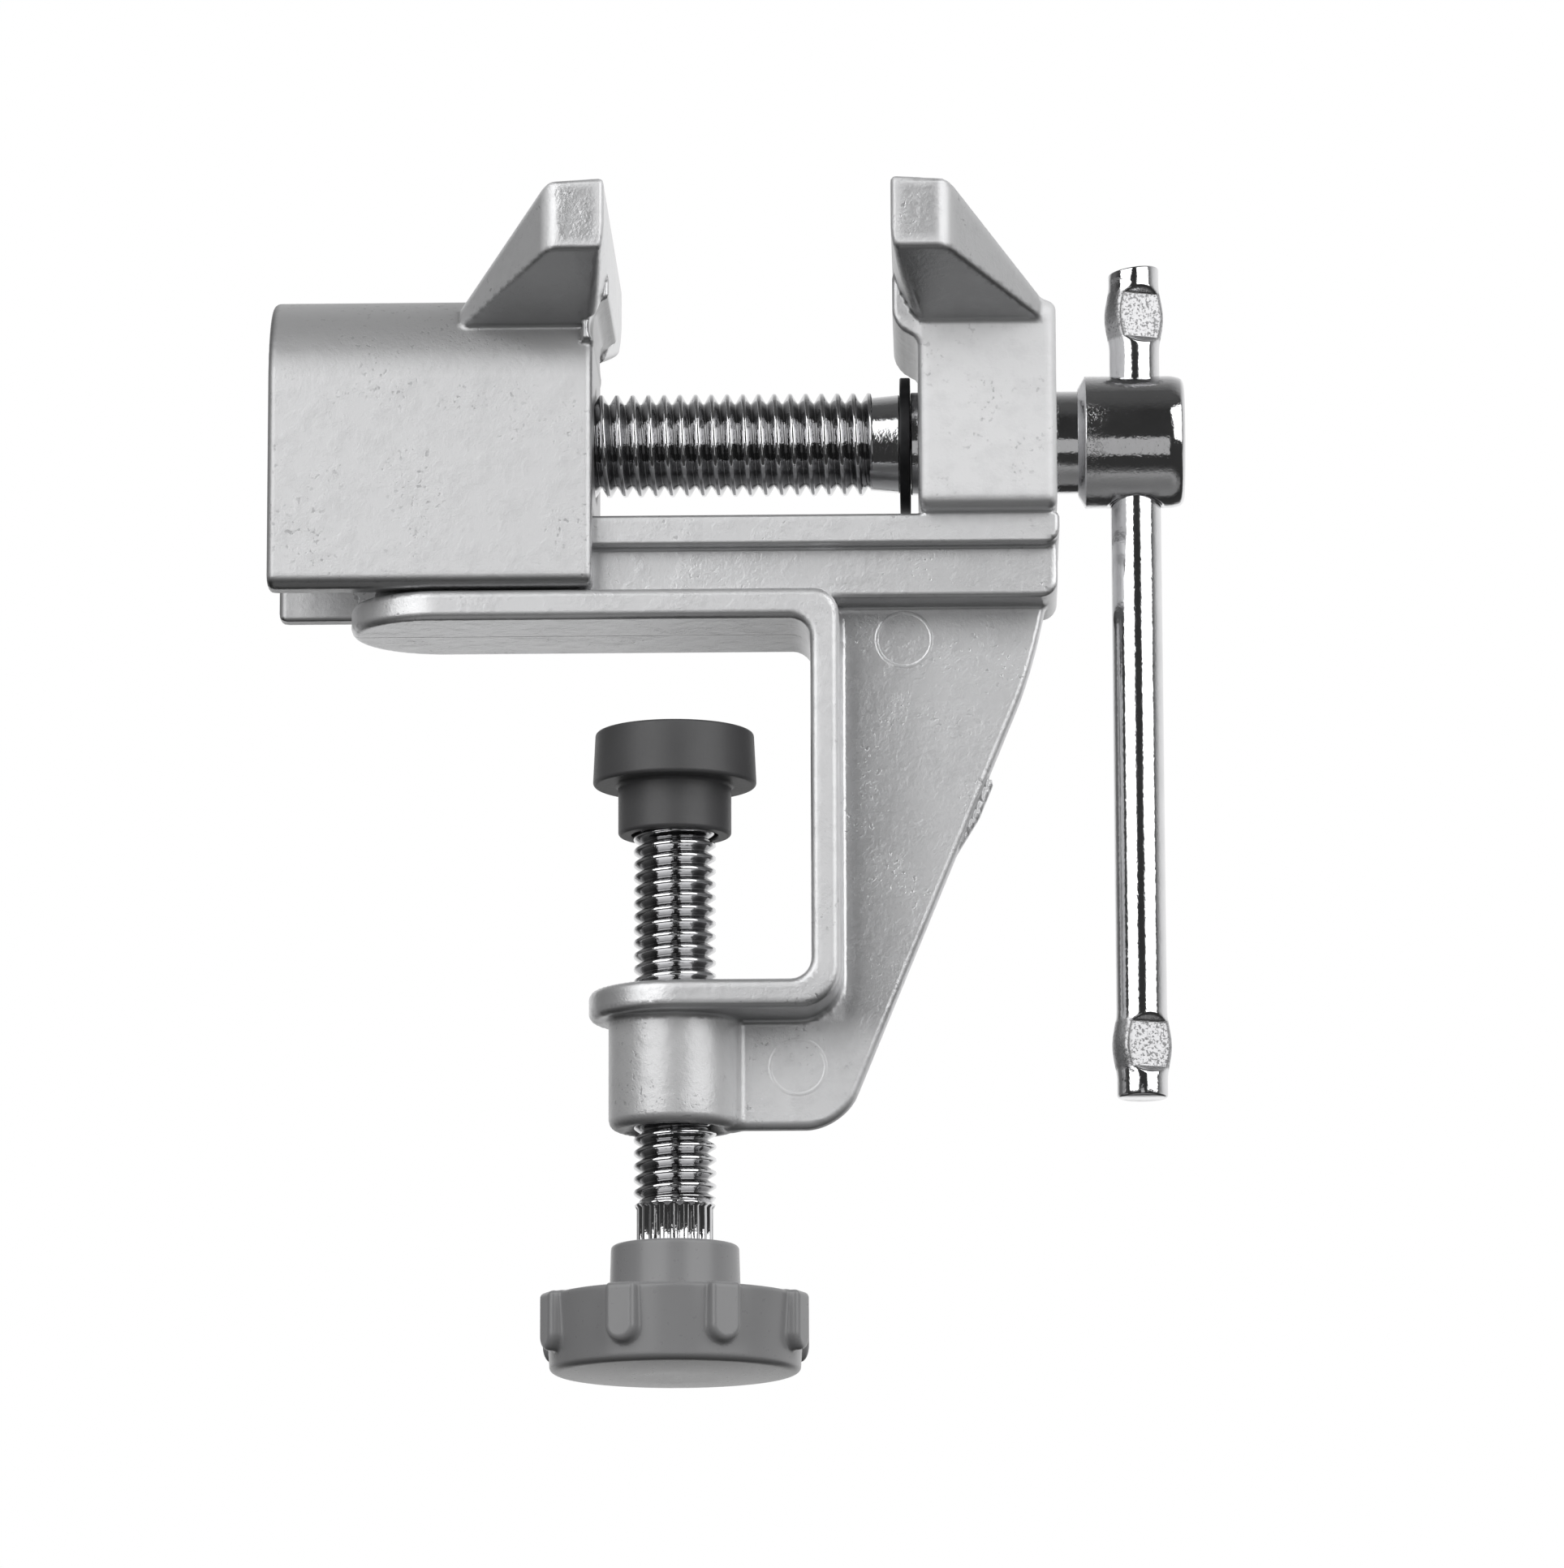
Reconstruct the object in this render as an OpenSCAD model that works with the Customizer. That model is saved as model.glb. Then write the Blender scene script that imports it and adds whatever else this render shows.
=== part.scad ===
// Mini bench vise with its own table clamp. Millimetres, +Z up.
// The origin lies on the axis of the clamp screw, on the underside of the upper arm,
// which rests on the bench top. +X runs from the moving jaw to the fixed jaw,
// and the plane Y = 0 halves the vise.

/* [Jaws] */
// Width of both jaws
jaw_w = 41.8; // [32:0.2:60]
// Height of the jaws' top above the bench top
jaw_top = 39.4; // [36:0.2:46]
// Height of the straight band at the ends of the jaws
jaw_band_h = 6.9; // [3:0.1:8]
// Thickness of the jaws at that band
jaw_band_t = 5.2; // [3:0.1:8]
// Height over which the jaws spread from their blocks
jaw_spread_h = 4.2; // [2:0.1:6]
// Opening between the gripping faces, as shown
jaw_opening = 26.8; // [12:0.1:30]
// How far the moving gripping face stands out from its block
moving_lip = 1.55; // [0.5:0.05:2.5]
// How far the fixed gripping face stands out from its block
fixed_lip = 2.35; // [2:0.05:3.5]
// Height of the moving gripping face's lower edge above the bench top
moving_grip_bottom = 30.9; // [28:0.1:32]
// Height of the fixed gripping face's lower edge above the bench top
fixed_grip_bottom = 28; // [27:0.1:32]
// Height above the bench top where the lips under the gripping faces end at their blocks
lip_foot = 26.7; // [25.5:0.1:27]
// Length of the moving jaw's slope along its block
moving_slope_l = 12.6; // [8:0.1:18]
// Length of the fixed jaw's slope along its block
fixed_slope_l = 11.9; // [8:0.1:12.5]
// Height of both slopes at their feet
slope_foot_h = 2.1; // [0.4:0.1:3]

/* [Blocks] */
// Width of both blocks
block_w = 18.4; // [17.6:0.1:24]
// Length of the moving block
moving_block_l = 30.7; // [24:0.1:34]
// Length of the fixed block
fixed_block_l = 13.1; // [12.6:0.1:15]
// Height of the fixed block's top above the bench top
fixed_block_top = 30.5; // [29:0.1:32]
// Radius on the upright edges of the fixed block
block_edge_r = 1; // [0.3:0.1:2]
// Radius on the upper edges of the fixed block
block_top_r = 1.5; // [0.5:0.1:4]
// Radius on the lower edges of the moving block
moving_edge_r = 1.3; // [0.3:0.1:2]

/* [Rail] */
// Height of the rail's top above the bench top
rail_h = 10.15; // [8:0.05:11]
// Width of the rail's flange
flange_w = 14.5; // [12.6:0.1:15.4]
// Thickness of the rail's flange
flange_t = 3; // [1.5:0.05:4]
// Width of the rail under its flange
rail_w = 11.5; // [8:0.1:12.5]
// Radius at the lower corners of the rail's outer end
rail_end_r = 1.6; // [0.5:0.1:2]
// Distance from the clamp screw's axis to the rail's inner end
rail_inner = 28; // [24:0.5:30]
// Distance from the clamp screw's axis to the rail's outer end
rail_outer = 36.35; // [35:0.05:40]

/* [Table clamp] */
// Width of both arms and of the spine
arm_w = 17; // [13:0.5:20]
// Thickness of the upper arm
arm_t = 2.85; // [1.6:0.05:4]
// Distance from the clamp screw's axis to the upper arm's tip
arm_reach = 30.7; // [28:0.1:40]
// Distance from the clamp screw's axis to the lower arm's tip
lower_reach = 8.1; // [7.5:0.1:12]
// Distance from the clamp screw's axis to the spine's inner face
throat_d = 13; // [11:0.1:15]
// Height of the throat between the arms
throat_h = 34.4; // [28:0.2:45]
// Radius at the inner corners of the throat
throat_r = 2; // [0.5:0.1:4]
// Thickness of the spine
spine_t = 2.7; // [2:0.1:5]
// Thickness of the lower arm
lower_arm_t = 2.8; // [1.6:0.1:4]
// Radius at the heel, where the spine turns into the lower arm
heel_r = 4; // [1:0.1:5]
// Radius at the shoulder, where the spine turns into the upper arm
shoulder_r = 2.5; // [0.5:0.1:4]
// Thickness of the web behind the spine
web_t = 2.5; // [1.5:0.1:6]
// Lean of the web's outer edge from upright, in degrees
web_lean = 22.5; // [15:0.1:26]
// Radius at the top of the web's outer edge
web_top_r = 4; // [2:0.5:16]
// Radius at the foot of the web's outer edge
web_foot_r = 3.3; // [2:0.1:8]
// Diameter of the boss that the clamp screw runs in
boss_d = 12.5; // [11:0.1:16]
// Length of that boss below the lower arm
boss_l = 10.3; // [7:0.1:12]
// Radius at the boss's lower edge
boss_edge_r = 1; // [0.2:0.1:1.4]

/* [Main screw] */
// Height of the main screw's axis above the bench top
screw_h = 18.5; // [17:0.1:19.5]
// Outer diameter of the main screw's thread
screw_d = 9.8; // [8:0.1:11]
// Pitch of the main screw's thread
screw_pitch = 1.5; // [1:0.25:2]
// Distance from the clamp screw's axis to the main screw's inner end
screw_inner = 30; // [26:0.5:33]
// Length of the plain taper between the thread and the clip
taper_l = 3; // [2:0.1:6]
// Gap between the fixed block and the screw's head
neck_gap = 2.05; // [1:0.05:5]
// Diameter of the screw's head
head_d = 12.6; // [11.5:0.05:15]
// Length of the screw's head
head_l = 10.15; // [9:0.05:14]
// Chamfer at both ends of the head
head_chamfer = 0.8; // [0.2:0.1:1.5]

/* [Retaining clip] */
// Outer diameter of the clip
clip_d = 13.1; // [11.5:0.05:14.5]
// How far the clip hangs below the main screw's axis, its outline being wider than its seat on that side
clip_drop = 0.25; // [0:0.05:0.4]
// Thickness of the clip
clip_t = 1; // [0.6:0.1:1.2]
// Gap between the clip and the fixed block
clip_gap = 0.75; // [0.3:0.05:0.9]
// Diameter at the bottom of the clip's groove
groove_d = 7.6; // [6:0.1:8]
// Width of the clip's ring
clip_ring = 1.6; // [1:0.1:2]

/* [Handle bar] */
// Diameter of the bar
bar_d = 4.8; // [3.5:0.1:6]
// Length of the bar
bar_l = 80.25; // [60:0.1:110]
// Height of the bar's upper end above the main screw's axis
bar_up = 17.05; // [14.5:0.05:30]
// Distance from the head's inner face to the bar's axis
bar_inset = 5.5; // [4:0.1:6.2]
// Width of the flattened ends
swage_w = 5.6; // [5.4:0.1:7.5]
// Thickness of the flattened ends
swage_t = 3.5; // [2.5:0.1:4.2]
// Length of each flat
swage_l = 4.45; // [3:0.05:6]
// Plain bar beyond each flat
swage_inset = 2.5; // [1:0.1:5]
// Turn of the flats from the front, in degrees
swage_turn = 22; // [0:1:90]

/* [Clamp screw] */
// Outer diameter of the clamp screw's thread
clamp_d = 7.8; // [6:0.1:8.5]
// Pitch of the clamp screw's thread
clamp_pitch = 1.25; // [1:0.25:1.5]
// Gap between the upper arm and the pad, as shown
clamp_gap = 9.5; // [5:0.1:12]
// Length of the clamp screw's thread
clamp_thread_l = 36.2; // [34:0.1:50]
// Diameter of the ball at the screw's upper end
ball_d = 6; // [5.2:0.1:6.4]
// Diameter of the neck under the ball
ball_neck_d = 4.2; // [3:0.1:4.4]
// Diameter of the splined shank under the thread
spline_d = 7.2; // [6:0.1:8.5]
// Number of grooves on the splined shank
spline_count = 20; // [16:1:30]
// Plain length of the splined shank above the knob
spline_l = 3.9; // [2:0.1:8]

/* [Pad] */
// Diameter of the pad at its rim's lower edge
pad_d = 15.5; // [13:0.1:16.5]
// How much the pad's diameter shrinks upwards
pad_draft = 0.5; // [0:0.1:1]
// Height of the pad's rim
pad_h = 5.1; // [4.6:0.1:7]
// Diameter of the pad's neck
pad_neck_d = 10.7; // [10.4:0.1:12.5]
// Height of the pad's neck
pad_neck_h = 4.8; // [4.6:0.1:7]
// Thickness of the pad above the ball
pad_top_t = 1.3; // [0.8:0.1:2]
// Depth of the recess round the screw in the pad's neck
pad_recess = 1.3; // [0.5:0.1:2]

/* [Knob] */
// Diameter of the knob's hub at its top
hub_d = 12; // [10.5:0.1:14]
// How much the hub widens downwards
hub_flare = 0.3; // [0:0.1:1]
// Height of the knob's hub
hub_h = 4.9; // [2:0.1:8]
// Diameter of the knob at its upper edge
knob_d = 24.3; // [20:0.1:34]
// Height of the knob's wheel
knob_h = 7.5; // [6:0.1:14]
// How much the knob's diameter shrinks downwards
knob_draft = 0.9; // [0:0.1:1.5]
// Radius at the knob's lower edge
knob_edge_r = 1; // [0.3:0.1:2]
// Number of grip ribs
rib_count = 8; // [5:1:14]
// How far the ribs stand out from the knob
rib_out = 0.95; // [0.4:0.05:2]
// Width of the ribs
rib_w = 3; // [1.5:0.1:4]
// Length of the ribs
rib_l = 5.5; // [3:0.1:5.8]
// Turn of the first rib from the front, in degrees
rib_turn = 23.5; // [0:0.5:45]
// Thickness of the knob's closed bottom
knob_floor_t = 2.4; // [1:0.1:4]

/* [Fits] */
// Clearance round each shaft that turns or slides in a bore
run_fit = 0.08; // [0.02:0.01:0.1]
// Clearance on each side of the rail
slide_fit = 0.2; // [0.1:0.05:0.4]
// Clearance between pieces that are fixed together
seat_fit = 0.04; // [0.02:0.01:0.08]

/* [Hidden] */

$fn = 96;
// Faces round a circle that only rounds off a corner
corner_fn = 48;
// Overlap of shapes that are joined in one solid, and overshoot of cuts
lap = 0.5;
// Depth of a metric thread as a share of its pitch
thread_share = 0.6134;
// How far the foot of the moving jaw's slope is sunk into its block
foot_sink = 0.2;
// Diameters at both ends of the main screw's taper, as shares of its outer diameter
taper_shares = [0.9, 0.96];

// Heights of the rail, the blocks and the jaws
slide_bottom = arm_t + slide_fit;
flange_bottom = rail_h - flange_t;
band_bottom = jaw_top - jaw_band_h;
spread_bottom = band_bottom - jaw_spread_h;
arch_centre = band_bottom - block_w / 2;

// Places along X
spine_outer = throat_d + spine_t;
fixed_face = rail_outer - fixed_block_l;
fixed_grip = fixed_face - fixed_lip;
moving_grip = fixed_grip - jaw_opening;
moving_face = moving_grip - moving_lip;
clip_face = fixed_face - clip_gap;
head_face = rail_outer + neck_gap;
bar_x = head_face + bar_inset;

// Heights of the table clamp's lower arm and of all that rides on the clamp screw
lower_arm_bottom = -throat_h - lower_arm_t;
boss_bottom = lower_arm_bottom - boss_l;
pad_bottom = -clamp_gap - pad_h - pad_neck_h;
recess_top = pad_bottom + pad_recess;
ball_r = ball_d / 2;
ball_z = -clamp_gap - pad_top_t - ball_r - run_fit;
thread_top = recess_top - slide_fit;
thread_bottom = thread_top - clamp_thread_l;
knob_top = thread_bottom - spline_l;
wheel_top = knob_top - hub_h;
knob_bottom = wheel_top - knob_h;

// Width of the clip's mouth as a share of its groove, and the angle of its lugs from the mouth
mouth_share = 0.85;
lug_angle = 62;

casting_grey = [0.78, 0.78, 0.80];
steel_grey = [0.62, 0.62, 0.64];
clip_black = [0.12, 0.12, 0.12];
pad_black = [0.28, 0.28, 0.29];
knob_grey = [0.43, 0.43, 0.44];

// Points of an arc, from angle a0 to a1
function arc(cx, cy, r, a0, a1, steps = 12) =
    [for (i = [0:steps]) let (a = a0 + (a1 - a0) * i / steps) [cx + r * cos(a), cy + r * sin(a)]];

// Half section of a thread that starts at height z, as points of radius and height
function thread_points(d, pitch, z, turns) =
    let (root = d / 2 - thread_share * pitch)
    [for (i = [0:turns - 1], p = [[root, 1 / 8], [d / 2, 7 / 16], [d / 2, 9 / 16], [root, 7 / 8]])
        [p[0], z + (i + p[1]) * pitch]];

// Draws a shape of X and Z, w wide, halved by the plane Y = 0
module across(w) rotate([90, 0, 0]) linear_extrude(w, center = true) children();

// Draws a shape of Y and Z from x on, l long
module along(x, l) translate([x, 0, 0]) rotate([90, 0, 90]) linear_extrude(l) children();

// Piece between a square corner at the origin and its rounding
module corner_piece(r) {
    difference() {
        square(r);
        translate([r, r]) circle(r, $fn = corner_fn);
    }
}

// Jaw band spread down onto its block, whose half width at the slope's foot is given.
// side is 1 where the slope runs towards +X and -1 where it runs towards -X.
module jaw_head(grip, face, slope_l, half_w, side) {
    hull() {
        translate([min(grip, grip + side * jaw_band_t), -jaw_w / 2, band_bottom])
            cube([jaw_band_t, jaw_w, jaw_band_h]);
        translate([min(face, face + side * slope_l), -half_w, spread_bottom])
            cube([slope_l, 2 * half_w, slope_foot_h]);
    }
}

// Lip under a gripping face, which slopes back to its block
module lip(grip, face, grip_bottom) {
    inside = face + sign(face - grip) * lap;
    across(block_w - 2 * lap) polygon([
        [grip, band_bottom], [grip, grip_bottom], [face, lip_foot], [inside, lip_foot], [inside, band_bottom]
    ]);
}

// Side view of the two arms and the spine
module c_outline() {
    difference() {
        translate([-arm_reach, lower_arm_bottom])
            square([arm_reach + spine_outer, arm_t - lower_arm_bottom]);
        difference() {
            translate([-arm_reach - lap, -throat_h]) square([arm_reach + lap + throat_d, throat_h]);
            translate([throat_d, 0]) rotate(180) corner_piece(throat_r);
            translate([throat_d, -throat_h]) mirror([1, 0]) corner_piece(throat_r);
        }
        translate([spine_outer, lower_arm_bottom]) mirror([1, 0]) corner_piece(heel_r);
        translate([spine_outer, arm_t]) rotate(180) corner_piece(shoulder_r);
    }
}

// Top view of an arm whose round end is centred on x
module arm_plan(x) {
    translate([x, 0]) circle(d = arm_w);
    translate([x, -arm_w / 2]) square([spine_outer + lap - x, arm_w]);
}

// The two arms and the spine, with round ends
module c_clamp() {
    middle = -throat_h / 2;
    intersection() {
        across(arm_w) c_outline();
        union() {
            translate([0, 0, middle]) linear_extrude(arm_t - middle) arm_plan(arm_w / 2 - arm_reach);
            translate([0, 0, lower_arm_bottom]) linear_extrude(middle - lower_arm_bottom)
                arm_plan(arm_w / 2 - lower_reach);
        }
    }
}

// Side view of the web: upright at the top, leaning to a round foot
module web_outline() {
    top_x = rail_outer - web_top_r;
    foot_z = boss_bottom + web_foot_r;
    // The leaning edge touches the top arc here, and runs down to the foot's arc
    lean_x = top_x + web_top_r * cos(web_lean);
    lean_z = arm_t - web_top_r * sin(web_lean);
    foot_edge_z = foot_z - web_foot_r * sin(web_lean);
    foot_edge_x = lean_x - (lean_z - foot_edge_z) * tan(web_lean);
    foot_x = foot_edge_x - web_foot_r * cos(web_lean);
    polygon(concat(
        [[throat_d + spine_t / 2, lower_arm_bottom + lower_arm_t / 2],
         [throat_d + spine_t / 2, arm_t + lap]],
        [[rail_outer, arm_t + lap]],
        arc(top_x, arm_t, web_top_r, 0, -web_lean),
        arc(foot_x, foot_z, web_foot_r, -web_lean, -90),
        [[0, boss_bottom], [0, lower_arm_bottom + lower_arm_t / 2]]
    ));
}

// Side view of one bar of the rail, whose lower outer corner is round
module rail_bar(bottom, top) {
    difference() {
        translate([-rail_inner, bottom]) square([rail_inner + rail_outer, top - bottom]);
        translate([rail_outer, bottom]) mirror([1, 0]) corner_piece(rail_end_r);
    }
}

// Boss for the clamp screw, round at its lower edge
module boss() {
    rotate_extrude() {
        difference() {
            translate([0, boss_bottom]) square([boss_d / 2, -throat_h - boss_bottom]);
            translate([boss_d / 2, boss_bottom]) mirror([1, 0]) corner_piece(boss_edge_r);
        }
    }
}

// Block of the fixed jaw, round at its upright edges and its upper edges
module fixed_block() {
    intersection() {
        translate([0, 0, rail_h - lap]) linear_extrude(fixed_block_top - rail_h + lap) difference() {
            translate([fixed_face, -block_w / 2]) square([fixed_block_l, block_w]);
            for (x = [0, 1], y = [0, 1])
                translate([x ? rail_outer : fixed_face, (y - 0.5) * block_w])
                    mirror([x, 0]) mirror([0, y]) corner_piece(block_edge_r);
        }
        along(fixed_face, fixed_block_l) difference() {
            translate([-block_w / 2, 0]) square([block_w, fixed_block_top]);
            for (y = [0, 1])
                translate([(y - 0.5) * block_w, fixed_block_top])
                    mirror([y, 0]) mirror([0, 1]) corner_piece(block_top_r);
        }
    }
}

// End view of the moving block: an arch on two legs that hold the rail's flange
module moving_outline() {
    leg_slot = rail_w + 2 * slide_fit;
    channel = flange_w + 2 * slide_fit;
    difference() {
        union() {
            translate([0, arch_centre]) circle(d = block_w);
            translate([-block_w / 2, slide_bottom]) square([block_w, arch_centre - slide_bottom]);
        }
        translate([-leg_slot / 2, slide_bottom - lap])
            square([leg_slot, flange_bottom - slide_bottom + lap]);
        translate([-channel / 2, flange_bottom - slide_fit])
            square([channel, flange_t + 2 * slide_fit]);
        for (y = [0, 1])
            translate([(y - 0.5) * block_w, slide_bottom]) mirror([y, 0]) corner_piece(moving_edge_r);
    }
}

// Flattened end of the bar, centred on the origin: a collar cut to a slab
module swage() {
    shoulder = (swage_w - bar_d) / 2;
    intersection() {
        rotate_extrude() polygon([
            [0, -swage_l / 2 - shoulder], [bar_d / 2, -swage_l / 2 - shoulder],
            [swage_w / 2, -swage_l / 2], [swage_w / 2, swage_l / 2],
            [bar_d / 2, swage_l / 2 + shoulder], [0, swage_l / 2 + shoulder]
        ]);
        cube([swage_w + lap, swage_t, 2 * swage_l], center = true);
    }
}

// Space that is pressed out of the bar on each side of a flat, with sloping ends
module swage_cut() {
    depth = (bar_d - swage_t) / 2;
    for (side = [0, 1]) mirror([0, side, 0]) rotate([90, 0, 90])
        linear_extrude(2 * swage_w, center = true) polygon([
            [swage_t / 2, -swage_l / 2], [swage_t / 2, swage_l / 2],
            [bar_d / 2 + lap, swage_l / 2 + depth + lap], [bar_d / 2 + lap, -swage_l / 2 - depth - lap]
        ]);
}

// One piece casting: table clamp, rail, fixed block and fixed jaw
module vise_frame() color(casting_grey) difference() {
    union() {
        c_clamp();
        across(web_t) web_outline();
        boss();
        across(rail_w) rail_bar(arm_t - lap, flange_bottom + lap);
        across(flange_w) rail_bar(flange_bottom, rail_h);
        fixed_block();
        jaw_head(fixed_grip, fixed_face, fixed_slope_l, block_w / 2, 1);
        lip(fixed_grip, fixed_face, fixed_grip_bottom);
    }
    // Bore that the main screw's shank turns in
    translate([fixed_face - lap, 0, screw_h]) rotate([0, 90, 0])
        cylinder(fixed_block_l + 2 * lap, d = screw_d + 2 * run_fit);
    // Tapped hole of the clamp screw, open to its crests
    translate([0, 0, boss_bottom - lap])
        cylinder(-throat_h - boss_bottom + 2 * lap, d = clamp_d + 2 * run_fit);
}

// Sliding block with its jaw, held on the rail by its legs
module moving_jaw() color(casting_grey) difference() {
    // Half width of the arch where the jaw's slope meets it, sunk a little into the arch
    foot_half_w = sqrt(pow(block_w / 2, 2) - pow(max(spread_bottom - arch_centre, 0), 2)) - foot_sink;
    union() {
        along(moving_face - moving_block_l, moving_block_l) moving_outline();
        jaw_head(moving_grip, moving_face, moving_slope_l, foot_half_w, -1);
        lip(moving_grip, moving_face, moving_grip_bottom);
    }
    // Tapped hole of the main screw, open to its crests
    translate([moving_face - moving_block_l - lap, 0, screw_h]) rotate([0, 90, 0])
        cylinder(moving_block_l + 2 * lap, d = screw_d + 2 * run_fit);
}

// Threaded rod with a taper, a clip groove, a plain shank and a drilled head
module main_screw() color(steel_grey) difference() {
    groove_start = clip_face - clip_t - seat_fit;
    thread_end = groove_start - taper_l;
    turns = floor((thread_end + screw_inner) / screw_pitch);
    core_r = screw_d / 2 - thread_share * screw_pitch;
    head_end = head_face + head_l;
    translate([0, 0, screw_h]) rotate([0, 90, 0]) rotate_extrude() polygon(concat(
        [[0, -screw_inner], [core_r, -screw_inner]],
        thread_points(screw_d, screw_pitch, thread_end - turns * screw_pitch, turns),
        [[screw_d / 2 * taper_shares[0], thread_end], [screw_d / 2 * taper_shares[1], groove_start],
         [groove_d / 2, groove_start], [groove_d / 2, clip_face + seat_fit],
         [screw_d / 2, clip_face + seat_fit], [screw_d / 2, head_face],
         [head_d / 2 - head_chamfer, head_face], [head_d / 2, head_face + head_chamfer],
         [head_d / 2, head_end - head_chamfer], [head_d / 2 - head_chamfer, head_end], [0, head_end]]
    ));
    // Cross hole that the handle bar slides in
    translate([bar_x, 0, screw_h - head_d]) cylinder(2 * head_d, d = bar_d + 2 * run_fit);
}

// Snap ring with three lugs in the groove and its mouth at the back
module retaining_clip() color(clip_black)
    translate([clip_face - clip_t, 0, screw_h]) rotate([90, 0, 90]) linear_extrude(clip_t) difference() {
        lug_w = 2 * clip_ring;
        mouth_w = groove_d * mouth_share;
        union() {
            translate([0, -clip_drop]) difference() {
                circle(d = clip_d);
                circle(d = clip_d - 2 * clip_ring);
            }
            for (a = [-lug_angle, 180, lug_angle]) rotate(a)
                translate([0, -lug_w / 2]) square([(clip_d - clip_ring) / 2, lug_w]);
        }
        circle(d = groove_d + 2 * seat_fit);
        translate([0, -mouth_w / 2]) square([clip_d, mouth_w]);
    }

// Sliding bar, flattened near both ends so that it can't fall out
module handle_bar() color(steel_grey) translate([bar_x, 0, screw_h + bar_up - bar_l]) rotate(swage_turn) {
    flats = [swage_inset + swage_l / 2, bar_l - swage_inset - swage_l / 2];
    difference() {
        cylinder(bar_l, d = bar_d);
        for (z = flats) translate([0, 0, z]) swage_cut();
    }
    for (z = flats) translate([0, 0, z]) swage();
}

// Threaded rod with a ball on top and a splined shank in the knob
module clamp_screw() color(steel_grey) {
    turns = floor(clamp_thread_l / clamp_pitch);
    core_r = clamp_d / 2 - thread_share * clamp_pitch;
    shank_bottom = knob_bottom + knob_floor_t + seat_fit;
    groove_share = 0.93;
    translate([0, 0, ball_z]) sphere(d = ball_d);
    translate([0, 0, thread_top - lap]) cylinder(ball_z - thread_top + lap, d = ball_neck_d);
    rotate_extrude() polygon(concat(
        [[0, thread_bottom], [core_r, thread_bottom]],
        thread_points(clamp_d, clamp_pitch, thread_top - turns * clamp_pitch, turns),
        [[core_r, thread_top], [0, thread_top]]
    ));
    translate([0, 0, shank_bottom]) linear_extrude(thread_bottom - shank_bottom + lap / 2)
        polygon([for (i = [0:2 * spline_count - 1])
            let (a = 180 * i / spline_count, r = spline_d / 2 * (i % 2 == 0 ? 1 : groove_share))
            [r * cos(a), r * sin(a)]]);
}

// Black pad that swivels on the ball and presses on the bench from below
module clamp_pad() color(pad_black) difference() {
    union() {
        translate([0, 0, -clamp_gap - pad_h]) cylinder(pad_h, d1 = pad_d, d2 = pad_d - pad_draft);
        translate([0, 0, pad_bottom]) cylinder(pad_neck_h + lap, d = pad_neck_d);
    }
    translate([0, 0, ball_z]) sphere(d = ball_d + 2 * run_fit);
    translate([0, 0, pad_bottom - lap])
        cylinder(ball_z - pad_bottom + lap, d = ball_neck_d + 2 * slide_fit);
    translate([0, 0, pad_bottom - lap]) cylinder(pad_recess + lap, d = clamp_d + 2 * slide_fit);
}

// Knob with a hub and grip ribs, moulded round the splined shank
module clamp_knob() color(knob_grey) difference() {
    foot_r = (knob_d - knob_draft) / 2;
    rib_start = foot_r - knob_edge_r - lap;
    rib_end = knob_d / 2 + rib_out;
    union() {
        translate([0, 0, wheel_top - lap]) cylinder(hub_h + lap, d1 = hub_d + hub_flare, d2 = hub_d);
        rotate_extrude() difference() {
            polygon([[0, knob_bottom], [foot_r, knob_bottom], [knob_d / 2, wheel_top], [0, wheel_top]]);
            translate([foot_r, knob_bottom]) mirror([1, 0]) corner_piece(knob_edge_r);
        }
        for (i = [0:rib_count - 1]) rotate(rib_turn - 90 + 360 / rib_count * i)
            translate([rib_start, 0, wheel_top]) rotate([90, 0, 90]) linear_extrude(rib_end - rib_start) {
                translate([-rib_w / 2, rib_w / 2 - rib_l]) square([rib_w, rib_l - rib_w / 2]);
                translate([0, rib_w / 2 - rib_l]) circle(d = rib_w, $fn = corner_fn);
            }
    }
    translate([0, 0, knob_bottom + knob_floor_t]) cylinder(knob_h + hub_h, d = spline_d + 2 * seat_fit);
}

vise_frame();
moving_jaw();
main_screw();
retaining_clip();
handle_bar();
clamp_screw();
clamp_pad();
clamp_knob();
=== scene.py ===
"""Mini bench vise with a table clamp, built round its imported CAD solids.

Shapes are worked out in millimetres and put into Blender in metres.
+X runs from the moving jaw to the fixed jaw, +Z is up, and Y = 0 halves the vise.
"""

import math

import bpy
import numpy as np
from mathutils import Matrix, Vector


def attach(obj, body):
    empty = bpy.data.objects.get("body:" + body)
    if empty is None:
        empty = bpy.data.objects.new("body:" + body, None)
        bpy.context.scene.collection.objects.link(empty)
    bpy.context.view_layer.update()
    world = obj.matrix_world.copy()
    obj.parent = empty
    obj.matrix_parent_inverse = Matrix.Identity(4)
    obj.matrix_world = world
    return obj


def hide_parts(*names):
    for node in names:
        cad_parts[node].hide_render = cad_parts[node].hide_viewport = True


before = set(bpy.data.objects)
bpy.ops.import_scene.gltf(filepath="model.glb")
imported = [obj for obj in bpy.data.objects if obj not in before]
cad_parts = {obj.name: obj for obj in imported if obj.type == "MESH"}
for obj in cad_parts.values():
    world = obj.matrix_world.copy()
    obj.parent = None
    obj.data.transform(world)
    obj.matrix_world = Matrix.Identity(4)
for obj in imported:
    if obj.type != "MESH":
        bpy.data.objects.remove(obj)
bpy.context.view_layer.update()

MM = 0.001
TURN = 2 * math.pi

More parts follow.
